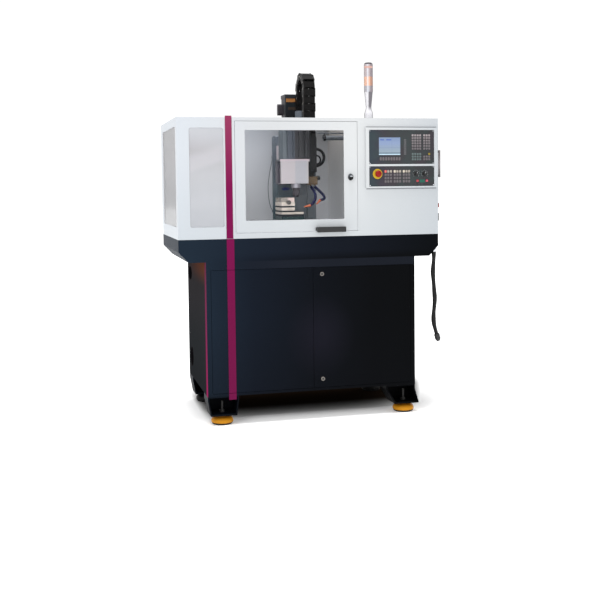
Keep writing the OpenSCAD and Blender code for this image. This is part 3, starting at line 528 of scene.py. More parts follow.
def enamelled(tree, pits, tone, low):
    # finish of an enamelled casting, given its colours: darker where the pits are deep, with an uneven gloss
    return {"Base Color": tree.blend(pits.ramp(0.3, 0.8) * 0.3, tone, colour(low)),
            "Roughness": 0.45 + 0.12 * (pits - 0.5), "Normal": tree.bump(pits, 0.0005, 0.7)}


def columnVarying(tree):
    # enamelled casting: blue-grey above, teal low down, near black where the chain's channel runs up its
    # right side; in front a pale strip with a dark edge at the upper left, and a blue oval
    x, y, z = tree.axes()
    pits = tree.noise(95.0, 4.0)
    tone = tree.tones(z.rise(1.15, 1.75), "455F66", "5F6E76", "6F7883", "747C86")
    tone = tree.blend(x.rise(-0.03, 0.01) * z.rise(1.46, 1.38) * 0.8, tone, colour("8C9299"))
    tone = tree.blend(x.ramp(0.045, 0.062) * z.rise(1.44, 1.50), tone, colour("060708"))
    tone = tree.blend(x.between(-0.131, -0.118) * (y < 0.07) * z.between(1.556, 1.65), tone, colour("D0C8CE"))
    tone = tree.blend(x.between(-0.118, -0.108) * (y < 0.07) * z.between(1.55, 1.70), tone, colour("14161A"))
    oval = ((x + 0.075) / 0.029).power(2.0) + ((z - 1.378) / 0.011).power(2.0)
    tone = tree.blend((1.0 - oval.rise(0.6, 1.2)) * (y < 0.07), tone, colour("22337A"))
    return enamelled(tree, pits, tone, "2C353A")


castBlue = makeLook("columnEnamel", {"Specular IOR Level": 0.3}, columnVarying)


def headVarying(tree):
    # head casting: dark grey, a lighter left flank low down, nearly black right of the spindle guard
    x, z = tree.axes()[::2]
    pits = tree.noise(80.0, 4.0)
    tone = tree.blend(z.rise(1.40, 1.55), colour("343A40"), colour("3F444B"))
    tone = tree.blend(x > 0.018, tone, colour("060708"))
    tone = tree.blend((x < -0.09) * z.rise(1.56, 1.50), tone, colour("5E5A64"))
    return enamelled(tree, pits, tone, "17191B")


headGrey = makeLook("headEnamel", {"Specular IOR Level": 0.3}, headVarying)


def guardVarying(tree):
    # folded white sheet over the spindle, its tones painted light and shade: a lit pinkish left face and top,
    # a shaded cooler part right of its fold
    x, z = tree.axes()[::2]
    cloud = tree.noise(6.0, 3.0)
    grain = tree.noise(420.0, 2.0)
    # painted light and shade: lit left part, shaded right of the fold
    tone = tree.blend(x.ramp(-0.083, -0.078), colour("ABA5A9"), colour("9C9DA3"))
    tone = tree.blend(x.ramp(-0.012, 0.004) * 0.5, tone, colour("B7ADA6"))
    tone = tree.blend(z.ramp(1.545, 1.552), tone, colour("B5A4AC"))
    return {"Base Color": tree.blend(cloud * 0.2, tone, colour("9A979E")),
            "Roughness": 0.45 + 0.05 * (grain - 0.5), "Normal": tree.bump(grain, 0.0001)}


guardWhite = makeLook("guardPaint", {"Specular IOR Level": 0.3}, guardVarying)
tableSteel = metalLook("groundTable", "8D9094", 0.4, (30, 800, 800), metallic=0.85)
screwSteel = metalLook("oiledSteel", "5C5A58", 0.35, (800, 60, 800))


def spindleVarying(tree):
    # bright nose over a dark chuck and tool
    z = tree.axes()[2]
    lines = tree.noise(1.0, 3.0, tree.stretched(500, 500, 40))
    tone = tree.blend(z.ramp(1.378, 1.383), colour("35333A"), colour("B4B2BC"))
    return {"Base Color": tree.blend(lines * 0.3, tone, colour("242329")),
            "Roughness": 0.3 + 0.12 * lines, "Normal": tree.bump(lines, 0.00004)}


cutterSteel = makeLook("groundSteel", {"Metallic": 0.6}, spindleVarying)
brass = metalLook("coolantBrass", "5C4A33", 0.45, (300, 300, 300), metallic=0.4, stain=0.5)


def motorVarying(tree):
    # dark enamel, a grey cap, teal-black in front; painted light makes the left face plum-grey
    x, y, z = tree.axes()
    pits = tree.noise(80.0, 3.0)
    tone = tree.blend(z.rise(1.80, 1.97), colour("16181B"), colour("1B2329"))
    tone = tree.blend(z.ramp(1.955, 1.968), tone, colour("2C2E33"))
    # painted light on the left face
    tone = tree.blend((x < -0.0385) * y.rise(0.20, 0.29) * 0.7, tone, colour("4A444A"))
    return {"Base Color": tree.blend(pits.ramp(0.35, 0.75) * 0.3, tone, colour("0E1012")),
            "Roughness": 0.5 + 0.1 * (pits - 0.5), "Normal": tree.bump(pits, 0.0004, 0.7)}


motorDark = makeLook("motorEnamel", {"Specular IOR Level": 0.2}, motorVarying)
capDark = plasticLook("capDark", "4A464C", "38353A", 0.4, specular=0.3)
chainBlack = plasticLook("chainNylon", "0C0A0A", "050404", 0.5, specular=0.15)
conduitBlack = plasticLook("conduitBlack", "0C0C0D", "060607", 0.42, specular=0.2)
hoseBlue = plasticLook("hoseBlue", "121640", "0A0D2C", 0.4, specular=0.1)
nozzleOrange = plasticLook("nozzleOrange", "B4603E", "8E4A32", 0.42, specular=0.2)
tankGrey = paintLook("tankPaint", "5A5F66", "4D5258", 0.5)


def windowVarying(tree):
    # acrylic of the fixed windows: grey haze, tones down the sheet painted as the light and shade seen in it,
    # one slanting painted reflection; the left side's sheet painted darker as shade
    x, z = tree.axes()[::2]
    haze = tree.noise(1.0, 3.0, tree.stretched(2.5, 2.5, 9.0))
    slant = z - x * 0.35
    tone = tree.tones(z.rise(1.16, 1.75), "B2B5BA", "B9BBC0", "B6B7BB", "A9A7AB", "BFC2C7")
    # painted reflection: a slanting paler band
    tone = tree.blend(slant.ramp(1.72, 1.76) * slant.ramp(1.86, 1.80) * 0.3, tone, colour("CFCED3"))
    # painted shade on the left side's sheet
    side = tree.tones(z.rise(1.16, 1.75), "2E3032", "4E4C52", "6A676C", "706E70")
    tone = tree.blend((x < -0.80) * 0.9, tone, side)
    return {"Base Color": tree.blend(haze * 0.2, tone, colour("A7A9AE")), "Alpha": 0.50 + 0.08 * haze,
            "Roughness": 0.12 + 0.05 * haze}


fixedPane = makeLook("fixedPane", {"Specular IOR Level": 0.2}, windowVarying)


def doorPaneVarying(tree):
    # the door's clear sheet: next to nothing of its own, a few wipe marks
    haze = tree.noise(1.0, 3.0, tree.stretched(3.0, 3.0, 8.0))
    marks = tree.noise(38.0, 4.0)
    return {"Base Color": tree.blend(haze, colour("8A8E96"), colour("A3A7AE")), "Alpha": 0.006 + 0.012 * haze,
            "Roughness": 0.1 + 0.06 * marks}


doorPane = makeLook("doorPane", {"Specular IOR Level": 0.15}, doorPaneVarying)


def shroudVarying(tree):
    # dark sheet cover: upright bands of tone, as its bent faces take the light, and a darker top
    x, z = tree.axes()[::2]
    across = (x + 0.174) / 0.19
    cloud = tree.noise(5.0, 3.0, tree.stretched(3.0, 3.0, 0.6))
    tone = tree.blend(across.ramp(0.2, 0.28), colour("616970"), colour("4A505A"))
    tone = tree.blend(across.ramp(0.46, 0.52), tone, colour("303033"))
    tone = tree.blend(across.ramp(0.70, 0.78), tone, colour("232427"))
    tone = tree.blend(across.ramp(0.84, 0.92), tone, colour("2C2C30"))
    tone = tree.blend(z.rise(1.70, 1.77) * across.rise(0.1, 0.5) * 0.7, tone, colour("1A171D"))
    grain = tree.noise(1.0, 2.0, tree.stretched(700, 700, 30))
    return {"Base Color": tree.blend(cloud * 0.35, tone, colour("14171B")),
            "Roughness": 0.36 + 0.1 * grain, "Normal": tree.bump(grain, 0.00004)}


shroudDark = makeLook("shroudSheet", {"Specular IOR Level": 0.25}, shroudVarying)


def viceVarying(tree):
    # ground cream faces with painted shade in the gaps between the layers, and green paint on the lowest
    x, z = tree.axes()[::2]
    high = (z - 1.190) * 1000
    # painted shade in the gaps between the layers
    gap = high.between(24, 32) + high.between(48, 57) + high.between(76, 86)
    lines = tree.noise(1.0, 3.0, tree.stretched(40, 900, 900))
    stain = tree.noise(26.0, 4.0).ramp(0.35, 0.75)
    face = tree.blend(stain, colour("DCD2C8"), colour("C0B6AC"))
    jaws = tree.blend(x.ramp(-0.135, -0.115), colour("8E8983"), colour("D3BFBA"))
    face = tree.blend(high > 108, face, jaws)
    face = tree.blend(high < 34, face, tree.blend(high > 20, colour("20383A"), colour("101C22")))
    return {"Base Color": tree.blend(gap, face, colour("0F1520")),
            "Roughness": 0.34 + 0.12 * lines + 0.2 * gap, "Normal": tree.bump(lines, 0.00005)}


viceSteel = makeLook("viceSteel", {"Specular IOR Level": 0.3}, viceVarying)


def screenVarying(tree):
    # lit screen: pale blue field, a darker title bar, field lines and a white row at the foot
    x, z = tree.axes()[::2]
    across = (x - 0.394) / 0.136
    high = (z - 1.575) / 0.105
    line = high.between(0.40, 0.42) + high.between(0.80, 0.812) + across.between(0.60, 0.612) * (high > 0.12)
    title = high.between(0.83, 0.90) * (across.between(0.06, 0.24) + across.between(0.34, 0.58))
    rows = ((high * 44.0).wave() > 0.2) * across.between(0.06, 0.5) * high.between(0.5, 0.78)
    tone = tree.tones(high.rise(0.1, 0.95), "7F8E98", "7A8899", "7685A2", "70809C")
    tone = tree.blend(rows * 0.15, tone, colour("6C82B4"))
    tone = tree.blend(title * 0.7, tone, colour("2F4A98"))
    tone = tree.blend(line * 0.5, tone, colour("566A8E"))
    tone = tree.blend(high.between(0.08, 0.125), tone, colour("22384C"))
    tone = tree.blend(high < 0.07, tone, colour("A9C0CF"))
    return {"Base Color": tone, "Emission Color": tone}


screenLit = makeLook("screenLit", {"Emission Strength": 0.06, "Roughness": 0.3, "Specular IOR Level": 0.2},
                     screenVarying)


def lensLook(name, low, tone, deep, edge, alpha):
    # ribbed lens: fine upright flutes, painted shade on its right half and at its outline, a painted
    # highlight streak left of the middle
    def varying(tree):
        x, y, z = tree.axes()
        u = towerAcross(x, y) / 0.027
        flutes = tree.noise(1.0, 2.0, tree.stretched(160, 160, 4))
        body = tree.blend(z.rise(2.0, 2.05), colour(low), colour(tone))
        # painted shade on the right half
        body = tree.blend(u.ramp(0.1, 0.5), body, colour(deep))
        body = tree.blend(flutes.ramp(0.4, 0.7) * 0.4, body, colour(deep))
        # painted highlight streak left of the middle
        body = tree.blend(u.between(-0.45, -0.05) * 0.45, body, colour("D4DCE6"))
        body = tree.blend(z.between(2.098, 2.11), body, colour("C39A90"))
        # painted shade at the outline
        outline = tree.facing(0.5).ramp(0.45, 0.8)
        return {"Base Color": tree.blend(outline, body, colour(edge)), "Alpha": alpha + 0.15 * outline}
    return makeLook(name, {"Roughness": 0.15, "Specular IOR Level": 0.3}, varying)


lensClear = lensLook("lensClear", "AAA8AE", "B0A3A5", "857B80", "3A3038", 0.88)
lensAmber = lensLook("lensAmber", "DBAD95", "DBAD95", "A87E6C", "4A3028", 0.9)


def lampKeysVarying(tree):
    # lit keys: red at the left and right ends, cream between
    x = tree.axes()[0]
    fine = tree.noise(300.0, 1.0)
    tone = tree.blend(x > 0.48, colour("C8605C"), colour("B9B0A2"))
    tone = tree.blend(x > 0.61, tone, colour("A03A42"))
    tone = tree.blend(x > 0.68, tone, colour("B54858"))
    return {"Base Color": tone, "Emission Color": tone, "Roughness": 0.35 + 0.1 * fine}


keyLit = makeLook("keyLit", {"Emission Strength": 0.05, "Specular IOR Level": 0.25}, lampKeysVarying)


def handleVarying(tree):
    # dull steel grip bar on dark stand-offs
    x, z = tree.axes()[::2]
    bar = x.ramp(0.800, 0.803)
    fine = tree.noise(400.0, 2.0)
    tone = tree.blend(bar, colour("1A1616"), tree.tones(z.rise(1.45, 1.58), "4E4C4E", "8A8486", "6A6062"))
    return {"Base Color": tone, "Roughness": 0.3 + 0.1 * fine}


handleLook = makeLook("gripBar", {}, handleVarying)
print("looks made")

# which CAD nodes wear which look
wears = {
    navy: ["cabinet", "stand_door_left", "stand_door_right", "foot_brackets", "chip_tray"],
    white: ["enclosure", "control_housing", "door_frame", "control_bezel"],
    magenta: ["accent_strips", "door_strip"],
    yellow: ["mount_caps"], boltSteel: ["levelling_bolts"],
    lockSteel: ["upper_lock", "lower_lock"], chrome: ["cord_gland"],
    fixedPane: ["fixed_windows"], doorPane: ["door_window"],
    blackPlastic: ["door_handle", "latch_knob", "feed_knob", "spindle_knob", "valve_knob", "cord_plug"],
    panelGrey: ["operator_panel", "machine_panel"], screenLit: ["screen"],
    keyGrey: ["panel_keys", "machine_keys"], keyLit: ["lamp_keys"],
    stopYellow: ["estop_collar"], stopRed: ["estop_button"], socketRed: ["side_sockets"],
    handleLook: ["side_handle"], rubber: ["main_switch", "mount_pads"],
    towerWhite: ["tower_stem"], lensClear: ["tower_clear_lenses"], lensAmber: ["tower_amber_lens"],
    capDark: ["tower_cap"], motorDark: ["z_motor"], lampGrey: ["work_lamp"],
    bedGreen: ["machine_bed", "saddle"],
    castBlue: ["column"], headGrey: ["head"], guardWhite: ["head_guard"], shroudDark: ["motor_shroud"],
    cutterSteel: ["spindle"], tableSteel: ["table"], viceSteel: ["vice_base", "vice_jaw"],
    screwSteel: ["vice_screw"], chainBlack: ["energy_chain"], conduitBlack: ["conduit_loop", "cord"],
    brass: ["coolant_block"], hoseBlue: ["coolant_hoses"], nozzleOrange: ["nozzles"],
    tankGrey: ["coolant_tank"],
}
for look, names in wears.items():
    for name in names:
        nodes[name].data.materials.clear()
        nodes[name].data.materials.append(look)
print("solids dressed")


# Camera, then the cord

view = {"place": (-1.4788, -5.8566, 1.3967), "yaw": 14.16, "pitch": -3.37, "roll": -0.66,
        "lens": 57.54, "rise": -0.0963}


def aimCamera(view):
    # camera at its place, turned right by yaw, up by pitch and round its own line of sight by roll
    yaw, pitch, roll = (math.radians(view[key]) for key in ("yaw", "pitch", "roll"))
    ahead = np.array([math.sin(yaw) * math.cos(pitch), math.cos(yaw) * math.cos(pitch), math.sin(pitch)])
    side = np.array([math.cos(yaw), -math.sin(yaw), 0.0])
    up = np.cross(side, ahead)
    right = math.cos(roll) * side + math.sin(roll) * up
    top = math.cos(roll) * up - math.sin(roll) * side
    camera = bpy.data.objects.new("camera", bpy.data.cameras.new("camera"))
    camera.data.sensor_width, camera.data.lens, camera.data.shift_y = 36.0, view["lens"], view["rise"]
    camera.data.clip_end = 200.0
    turn = Matrix(np.column_stack([right, top, -ahead]).tolist()).to_4x4()
    turn.translation = view["place"]
    camera.matrix_world = turn
    bpy.context.scene.collection.objects.link(camera)
    bpy.context.scene.camera = camera


aimCamera(view)

cord = {"radius": 15.0, "exit": (776, 25, 984), "pitch": 11.0, "ridge": 1.3, "swell": 1.5, "crest": 128.0,
        "wave": 146.0, "steps": 16,
        "route": [(0, 0, 0), (0, 0, -30), (-1, 1, -60), (-3.5, 2, -92), (-5, 3, -126), (-3, 3, -161),
                  (-0.5, 2, -196), (2, 1, -238), (5, 0, -280), (4.5, 0, -315), (2, 1, -345), (-1, 2, -378),
                  (-2, 3, -410), (1, 4, -444), (9, 5, -478), (19, 6, -511)],
        "plug": [(0, 0), (14.5, 0), (16.5, 1.5), (17.6, 7), (17.6, 12), (16.4, 13), (16.4, 16), (17.6, 17),
                 (17.6, 20), (16.4, 21), (16.4, 24), (17.6, 25), (17.6, 29), (15.5, 36), (12.5, 41),
                 (11.8, 43), (11.8, 45), (0, 45.5)]}


def cordShape(cord):
    # wrapped cord: radius(s, angle) = middle radius + slow swell along it + a ridge that winds round it
    line = smoothLine(np.array(cord["exit"]) + np.array(cord["route"]), cord["steps"])
    run = np.concatenate([[0], np.cumsum(np.linalg.norm(np.diff(line, axis=0), axis=1))])

    def radius(angle):
        s = run[:, None]
        swell = np.cos(2 * math.pi * (s - cord["crest"]) / cord["wave"]) * 0.85 + np.sin(s / 17 + 1.3) * 0.15
        wind = np.abs(np.sin(math.pi * s / cord["pitch"] + angle[None] / 2)) ** 0.6
        return cord["radius"] - cord["ridge"] - cord["swell"] + cord["swell"] * swell + cord["ridge"] * wind

    return swept(line, 0, 20, twist=radius), line, run[-1]


cordMesh, cordLine, cordLength = cordShape(cord)
cordPiece = makePiece("wrapped_cord", cordMesh, conduitBlack, "frame", ["cord"])
plugMesh = turned(cord["plug"], cordLine[-1], cordLine[-1] - cordLine[-3], 32)
plugPiece = makePiece("cord_end_plug", plugMesh, blackPlastic, "frame", ["cord_plug"])
((cordLine[0] - origin) * 0.001).tolist()
cordLength * 0.001
((cordLine - origin) * 0.001).tolist()
print("cord made")


# Controls

def keyBoxes(node):
    # lowest and highest corner of each key, whose 24 points follow each other in the solid
    mesh = nodes[node].data
    points = np.zeros(len(mesh.vertices) * 3)
    mesh.vertices.foreach_get("co", points)
    points = points.reshape(-1, 24, 3)
    return np.stack([points.min(1), points.max(1)], 1) * 1000 + origin


keys = {"inset": 0.9, "dish": 0.3, "yellow": [[728, -10.5, 1574], [740.5, -8, 1586.5]]}
for node, name, look, slot in (("panel_keys", "panel_key_caps", keyGrey, "key_grey"),
                               ("machine_keys", "machine_key_caps", keyGrey, "key_grey"),
                               ("lamp_keys", "lamp_key_caps", keyLit, "key_red")):
    capsMesh = keyCaps(keyBoxes(node), keys["inset"], keys["dish"])
    makePiece(name, capsMesh, look, "frame", [node], angle=60)

keyYellow = plasticLook("keyYellow", "8C7A2C", "6E6030", 0.5, specular=0.15)
makePiece("yellow_key_cap", keyCaps([keys["yellow"]], keys["inset"], keys["dish"]), keyYellow, "frame",
          angle=60)

dial = {"x": (650, 704), "z": 1462, "face": -8.0, "skirt": 16.0, "grip": 12.0, "flutes": 12, "marks": 11,
        "ring": 21.0}


def dialShape(x):
    # round skirt with a fluted grip on it
    wide, narrow = dial["skirt"], dial["grip"]
    skirt = [(0, 0), (wide, 0), (wide, 2.4), (wide - 1.2, 4.2), (narrow + 0.6, 5.4)]
    grip = [(narrow + 0.6, 5.4), (narrow, 6.5), (narrow - 0.5, 18), (narrow - 2.2, 19.8), (0, 20)]
    place = (x, dial["face"], dial["z"])
    return joined(turned(skirt + [(0, 5.4)], place, outward, 48),
                  turned([(0, 5.4)] + grip, place, outward, 96, dial["flutes"], 1.6))


def dialMarks(x):
    # short strokes round the dial, one radial box each
    angle = np.radians(np.linspace(-135, 135, dial["marks"]))
    along = np.stack([np.sin(angle), np.zeros(dial["marks"]), np.cos(angle)], -1)
    across = np.stack([np.cos(angle), np.zeros(dial["marks"]), -np.sin(angle)], -1)
    stroke = [-0.5, 0.5, -0.35, 0, dial["ring"] - 2.2, dial["ring"] + 1.8]
    points, faces = blocks([stroke] * dial["marks"])
    points = points.reshape(dial["marks"], 8, 3)
    turnedPoints = (points[..., :1] * across[:, None] + points[..., 2:] * along[:, None]
                    + points[..., 1:2] * np.array([0, 1, 0]))
    return turnedPoints.reshape(-1, 3) + np.array([x, dial["face"], dial["z"]]), faces


markWhite = paintLook("markWhite", "C9CDD0", "B8BCC0", 0.5)
for x, node, body, name in ((dial["x"][0], "feed_knob", "feed_dial", "feed"),
                            (dial["x"][1], "spindle_knob", "speed_dial", "speed")):
    pointer = [x - 0.8, x + 0.8, dial["face"] - 20.4, dial["face"] - 19.2, dial["z"] + 1, dial["z"] + 10.5]
    makePiece(name + "_dial_knob", dialShape(x), blackPlastic, body, [node], angle=35)
    makePiece(name + "_dial_pointer", blocks([pointer]), markWhite, body, bevel=0.3)
    makePiece(name + "_dial_marks", dialMarks(x), markWhite, "frame")

stop = {"place": (404.0, -8.0, 1462.0),
        "head": [(0, 10.8), (13, 10.8), (14.5, 11.4), (19, 14.5), (20, 16.5), (20.2, 19.5), (19.4, 23),
                 (17.2, 26), (13.5, 28.6), (8, 30.4), (4, 30.9), (0, 31)],
        "stem": [(0, -2), (8, -2), (8, 12), (0, 12)],
        "ring": [(8.05, 0), (30, 0), (30, 1.6), (29.2, 2.8), (27, 3.6), (12.5, 4), (11, 3.4), (8.05, 3.4),
                 (8.05, 0)]}
makePiece("stop_button_head", turned(stop["head"], stop["place"], outward, 64), stopRed, "stop_button",
          angle=30)
makePiece("stop_button_stem", turned(stop["stem"], stop["place"], outward, 40), blackPlastic, "stop_button",
          ["estop_button"])
makePiece("stop_collar_ring", turned(stop["ring"], stop["place"], outward, 72), stopYellow, "frame",
          ["estop_collar"], angle=30)

screws = {"x": (356.5, 760.5), "y": -8, "z": (1525.5, 1719.5, 1392.5, 1502.5),
          "head": [(0, -0.2), (3.2, -0.2), (3.2, 0.9), (2.6, 1.5), (1.5, 1.6), (1.4, 0.6), (0, 0.6)]}
screwHeads = [turned(screws["head"], (x, screws["y"], z), outward, 20)
              for x in screws["x"] for z in screws["z"]]
makePiece("panel_screws", joined(*screwHeads), chrome, "frame")
print("controls made")


# Door latch, locks, mounts

latch = {"x": 237.0, "z": 1445.0, "squeeze": 0.72, "wing": (5.0, 14.5), "root": -19.5, "top": -26.0,
         "rose": [(0, 0.08), (20.5, 0.08), (20.5, 1.2), (19.2, 2.8), (17.4, 3.1), (0, 3.1)],
         "knob": [(0, 3), (17.6, 3), (18.4, 4), (18.4, 16.5), (16.5, 19.4), (12, 20.6), (0, 21)],
         "shaft": [(0, -12), (6, -12), (6, 0.2), (0, 0.2)], "tongue": [232, 242, 8, 11, 1423, 1445]}
latchPlace = (latch["x"], 0, latch["z"])


def wingShape(latch):
    # wing of the latch: nested ovals that rise from its root to a soft ridge
    sides = 40
    half, long = latch["wing"]
    rise = latch["top"] - latch["root"]
    angle = np.arange(sides) * 2 * math.pi / sides
    rows = [(1.0, 0.0), (1.0, 0.35), (0.94, 0.7), (0.78, 0.92), (0.5, 1.0), (0.0, 1.0)]
    points = [np.stack([latch["x"] + half * share * np.cos(angle),
                        np.full(sides, latch["root"] + rise * height),
                        latch["z"] + long * share * np.sin(angle)], -1) for share, height in rows]
    points = np.concatenate([[np.repeat([[latch["x"], latch["root"], latch["z"]]], sides, 0)], points])
    return points.reshape(-1, 3), gridFaces(len(points), sides)


def latchVarying(tree):
    # glossy black knob: painted light on its upper half and a painted glint left of the middle, black below
    x, z = tree.axes()[::2]
    fine = tree.noise(400.0, 1.0)
    high = (z - 1.445) * 1000.0
    # painted light on the upper half
    tone = tree.blend(high.ramp(-4.0, 4.0), colour("08090B"), colour("3A3E42"))
    # painted glint
    tone = tree.blend(high.between(1.0, 8.0) * x.between(0.210, 0.224), tone, colour("A9ACB0"))
    return {"Base Color": tone, "Roughness": 0.3 + 0.1 * fine}


latchLook = makeLook("latchGloss", {"Specular IOR Level": 0.2}, latchVarying)


def narrowed(shape):
    # the latch's shape drawn in towards its middle, because the knob is narrower than it is high
    points, faces = shape
    x = latch["x"] + (points[:, 0] - latch["x"]) * latch["squeeze"]
    return np.stack([x, points[:, 1], points[:, 2]], -1), faces


roseMesh = narrowed(turned(latch["rose"], latchPlace, outward, 64))
knobMesh = narrowed(joined(turned(latch["knob"], latchPlace, outward, 56), wingShape(latch)))
shaftMesh = joined(turned(latch["shaft"], latchPlace, outward, 32), blocks([latch["tongue"]]))
makePiece("latch_rose", roseMesh, latchLook, "latch", angle=25)
makePiece("latch_turn_knob", knobMesh, latchLook, "latch", angle=30)
makePiece("latch_shaft", shaftMesh, boltSteel, "latch", ["latch_knob"])

lock = {"x": 55, "upper_lock": 872, "lower_lock": 243,
        "rim": [(0, 0.08), (12.5, 0.08), (12.5, 1.4), (11.6, 3.2), (10.2, 4), (9.4, 3.3), (0, 3.2)],
        "barrel": [(0, -14), (8.9, -14), (8.9, 0.1), (0, 0.1)],
        "slot": [(0, 3.1), (6.2, 3.1), (6.4, 3.6), (5.6, 3.9), (0, 3.7)]}
for name in ("upper_lock", "lower_lock"):
    x, z = lock["x"], lock[name]
    rimMesh = joined(turned(lock["rim"], (x, 0, z), outward, 56),
                     turned(lock["barrel"], (x, 0, z), outward, 40),
                     blocks([[x - 4, x + 4, 10, 13, z - 26, z]]))
    slotMesh = turned(lock["slot"], (x, 0, z), outward, 32)
    makePiece(name + "_rim", rimMesh, lockSteel, name, [name], angle=25)
    makePiece(name + "_key_slot", slotMesh, blackPlastic, name)

mount = {"x": (-545, 589), "y": (76, 711),
         "dome": [(0, 9.6), (60, 9.6), (62.5, 10.4), (65, 13), (65, 25), (64, 27.5), (60.5, 34), (56, 39.5),
                  (46, 45.5), (43, 46.4), (40, 49.2), (31, 50), (0, 50)],
         "sole": [(0, 0), (56, 0), (58, 1.5), (59, 4), (60.5, 4.6), (60.8, 7), (62, 8), (62, 10), (0, 10)],
         "washer": [(0, 66.5), (17.5, 66.5), (17.5, 68.1), (16.6, 68.9), (0, 68.9)]}


def onMounts(profile, sides):
    # the same turned profile on each of the four mounts
    return joined(*[turned(profile, (x, y, 0), upward, sides) for x in mount["x"] for y in mount["y"]])


makePiece("mount_domes", onMounts(mount["dome"], 72), yellow, "frame", ["mount_caps"],
          angle=30)
makePiece("mount_soles", onMounts(mount["sole"], 72), rubber, "frame", ["mount_pads"],
          angle=30)
makePiece("bolt_washers", onMounts(mount["washer"], 40), boltSteel, "frame")

# plain sleeve over the tool holder's lower end
sleeve = {"place": (-38, 230, 1277.5),
          "profile": [(0, 60), (17.5, 60), (19.2, 61.2), (20.4, 63), (20.4, 97.5), (21.2, 98), (21.2, 106),
                      (20.6, 106.6), (0, 106.6)]}
makePiece("holder_sleeve", turned(sleeve["profile"], sleeve["place"], upward, 56), capDark, "spindle",
          angle=30)
print("fittings made")


# Coolant hoses, conduit and energy chain

# each strand's four guide points, its beads, and its nozzle's tilt and length
hose = {"from": np.array([36.0, 212.0, 1405.0]), "strands": [
    {"guide": np.array([[16, 20, -14], [46, -30, -60], [24, -96, -98], [-17, -98, -127]], float), "beads": 15,
     "tilt": -102, "nozzle": 40},
    {"guide": np.array([[42, 20, -14], [100, -16, -74], [92, -90, -90], [44, -98, -96]], float), "beads": 19,
     "tilt": -136, "nozzle": 34}]}
nozzleProfile = [(0, -1), (8.2, -1), (8.6, 1), (8.6, 5), (7.9, 6), (7.6, 9), (6.6, 16), (4.6, 30), (4.2, 39),
                 (3.6, 40), (2.4, 40), (2.2, 36), (0, 36)]


def guidedLine(p, t):
    # smooth curve that starts and ends at the outer two of four guide points
    t = t[:, None]
    return (1 - t) ** 3 * p[0] + 3 * t * (1 - t) ** 2 * p[1] + 3 * t ** 2 * (1 - t) * p[2] + t ** 3 * p[3]


def beadedHose(guide, beads):
    # ball-and-socket segments: along one bead the radius rises out of a neck, swells and ends in a cup
    along = np.array([0.0, 0.06, 0.18, 0.36, 0.58, 0.78, 0.92, 0.97])
    swell = np.array([6.3, 7.4, 8.0, 8.3, 8.5, 8.45, 8.2, 6.4])
    t = (np.arange(beads)[:, None] + along).reshape(-1) / beads
    line = guidedLine(guide, np.append(t, 1.0)) + hose["from"]
    return swept(line, np.append(np.tile(swell, beads), swell[0])[:, None], 20, upward)


def nozzleShape(tip, tilt, length):
    # tapered nozzle on a hose's tip, leaning from upright by tilt degrees
    lean = math.radians(tilt)
    profile = np.array(nozzleProfile) * [1, length / 40]
    return turned(profile, hose["from"] + tip, (math.sin(lean), 0, math.cos(lean)), 32)


hoseMesh = joined(*[beadedHose(s["guide"], s["beads"]) for s in hose["strands"]])
nozzleMesh = joined(*[nozzleShape(s["guide"][3], s["tilt"], s["nozzle"]) for s in hose["strands"]])
makePiece("segmented_hoses", hoseMesh, hoseBlue, "head", ["coolant_hoses"], angle=28)
makePiece("hose_nozzles", nozzleMesh, nozzleOrange, "head", ["nozzles"], angle=30)

conduit = {"x": 126.25, "y": 370.0, "z": 1573.0, "bend": 52.0, "radius": 10.0, "pitch": 5.0, "ridge": 0.8}
innerConduit = {"x": 128.5, "y": 372.0, "z": 1558.0, "bend": 27.0, "radius": 5.4, "pitch": 3.6, "ridge": 0.3}


def conduitShape(loop):
    # corrugated conduit: half ring with two short straights, radius = middle + ridge * cosine along it
    angle = np.radians(np.linspace(-90, 90, 130))
    arc = np.stack([loop["x"] + loop["bend"] * np.cos(angle), np.full(len(angle), loop["y"]),
                    loop["z"] + loop["bend"] * np.sin(angle)], -1)
    lead = np.linspace(0, 1, 12)[:, None]
    straight = np.array([-3.0, 0, 0])
    line = np.concatenate([arc[0] + (1 - lead[:-1]) * straight, arc, arc[-1] + lead[1:] * straight])
    run = np.concatenate([[0], np.cumsum(np.linalg.norm(np.diff(line, axis=0), axis=1))])
    radius = loop["radius"] - loop["ridge"] + loop["ridge"] * np.cos(2 * math.pi * run / loop["pitch"])
    return swept(line, radius[:, None], 20)


makePiece("corrugated_conduit", conduitShape(conduit), conduitBlack, "head",
          ["conduit_loop"], angle=50)
makePiece("inner_conduit", conduitShape(innerConduit), conduitBlack, "head", angle=50)

# each cable's place across the chain and off its middle line, and its radius
chain = {"x": 82.5, "y": 455.0, "z": 2001.0, "bend": 84.0, "front": 1600.0, "rear": 1790.0, "pinFace": 37.6,
         "pinPitch": 46.0, "frontPins": 5, "rearPins": 2,
         "cables": [(-22, 2, 7.0), (-7, -3, 8.5), (8, 3, 7.5), (21, -2, 7.0)],
         "pin": [(0, -1), (6.5, -1), (6.5, 0.5), (5.6, 1.1), (3.2, 1.2), (2.8, 0.7), (0, 0.7)]}


def chainLine(across, extra):
    # the chain's own path: front strand up, half circle over, rear strand down
    bend = chain["bend"] + extra
    angle = np.radians(np.linspace(180, 0, 60))
    up = np.linspace(chain["front"], chain["z"], 24)[:-1]
    down = np.linspace(chain["z"], chain["rear"], 14)[1:]
    off = np.concatenate([np.full(len(up), -bend), bend * np.cos(angle), np.full(len(down), bend)])
    z = np.concatenate([up, chain["z"] + bend * np.sin(angle), down])
    return np.stack([np.full(len(z), chain["x"] + across), chain["y"] + off, z], -1)


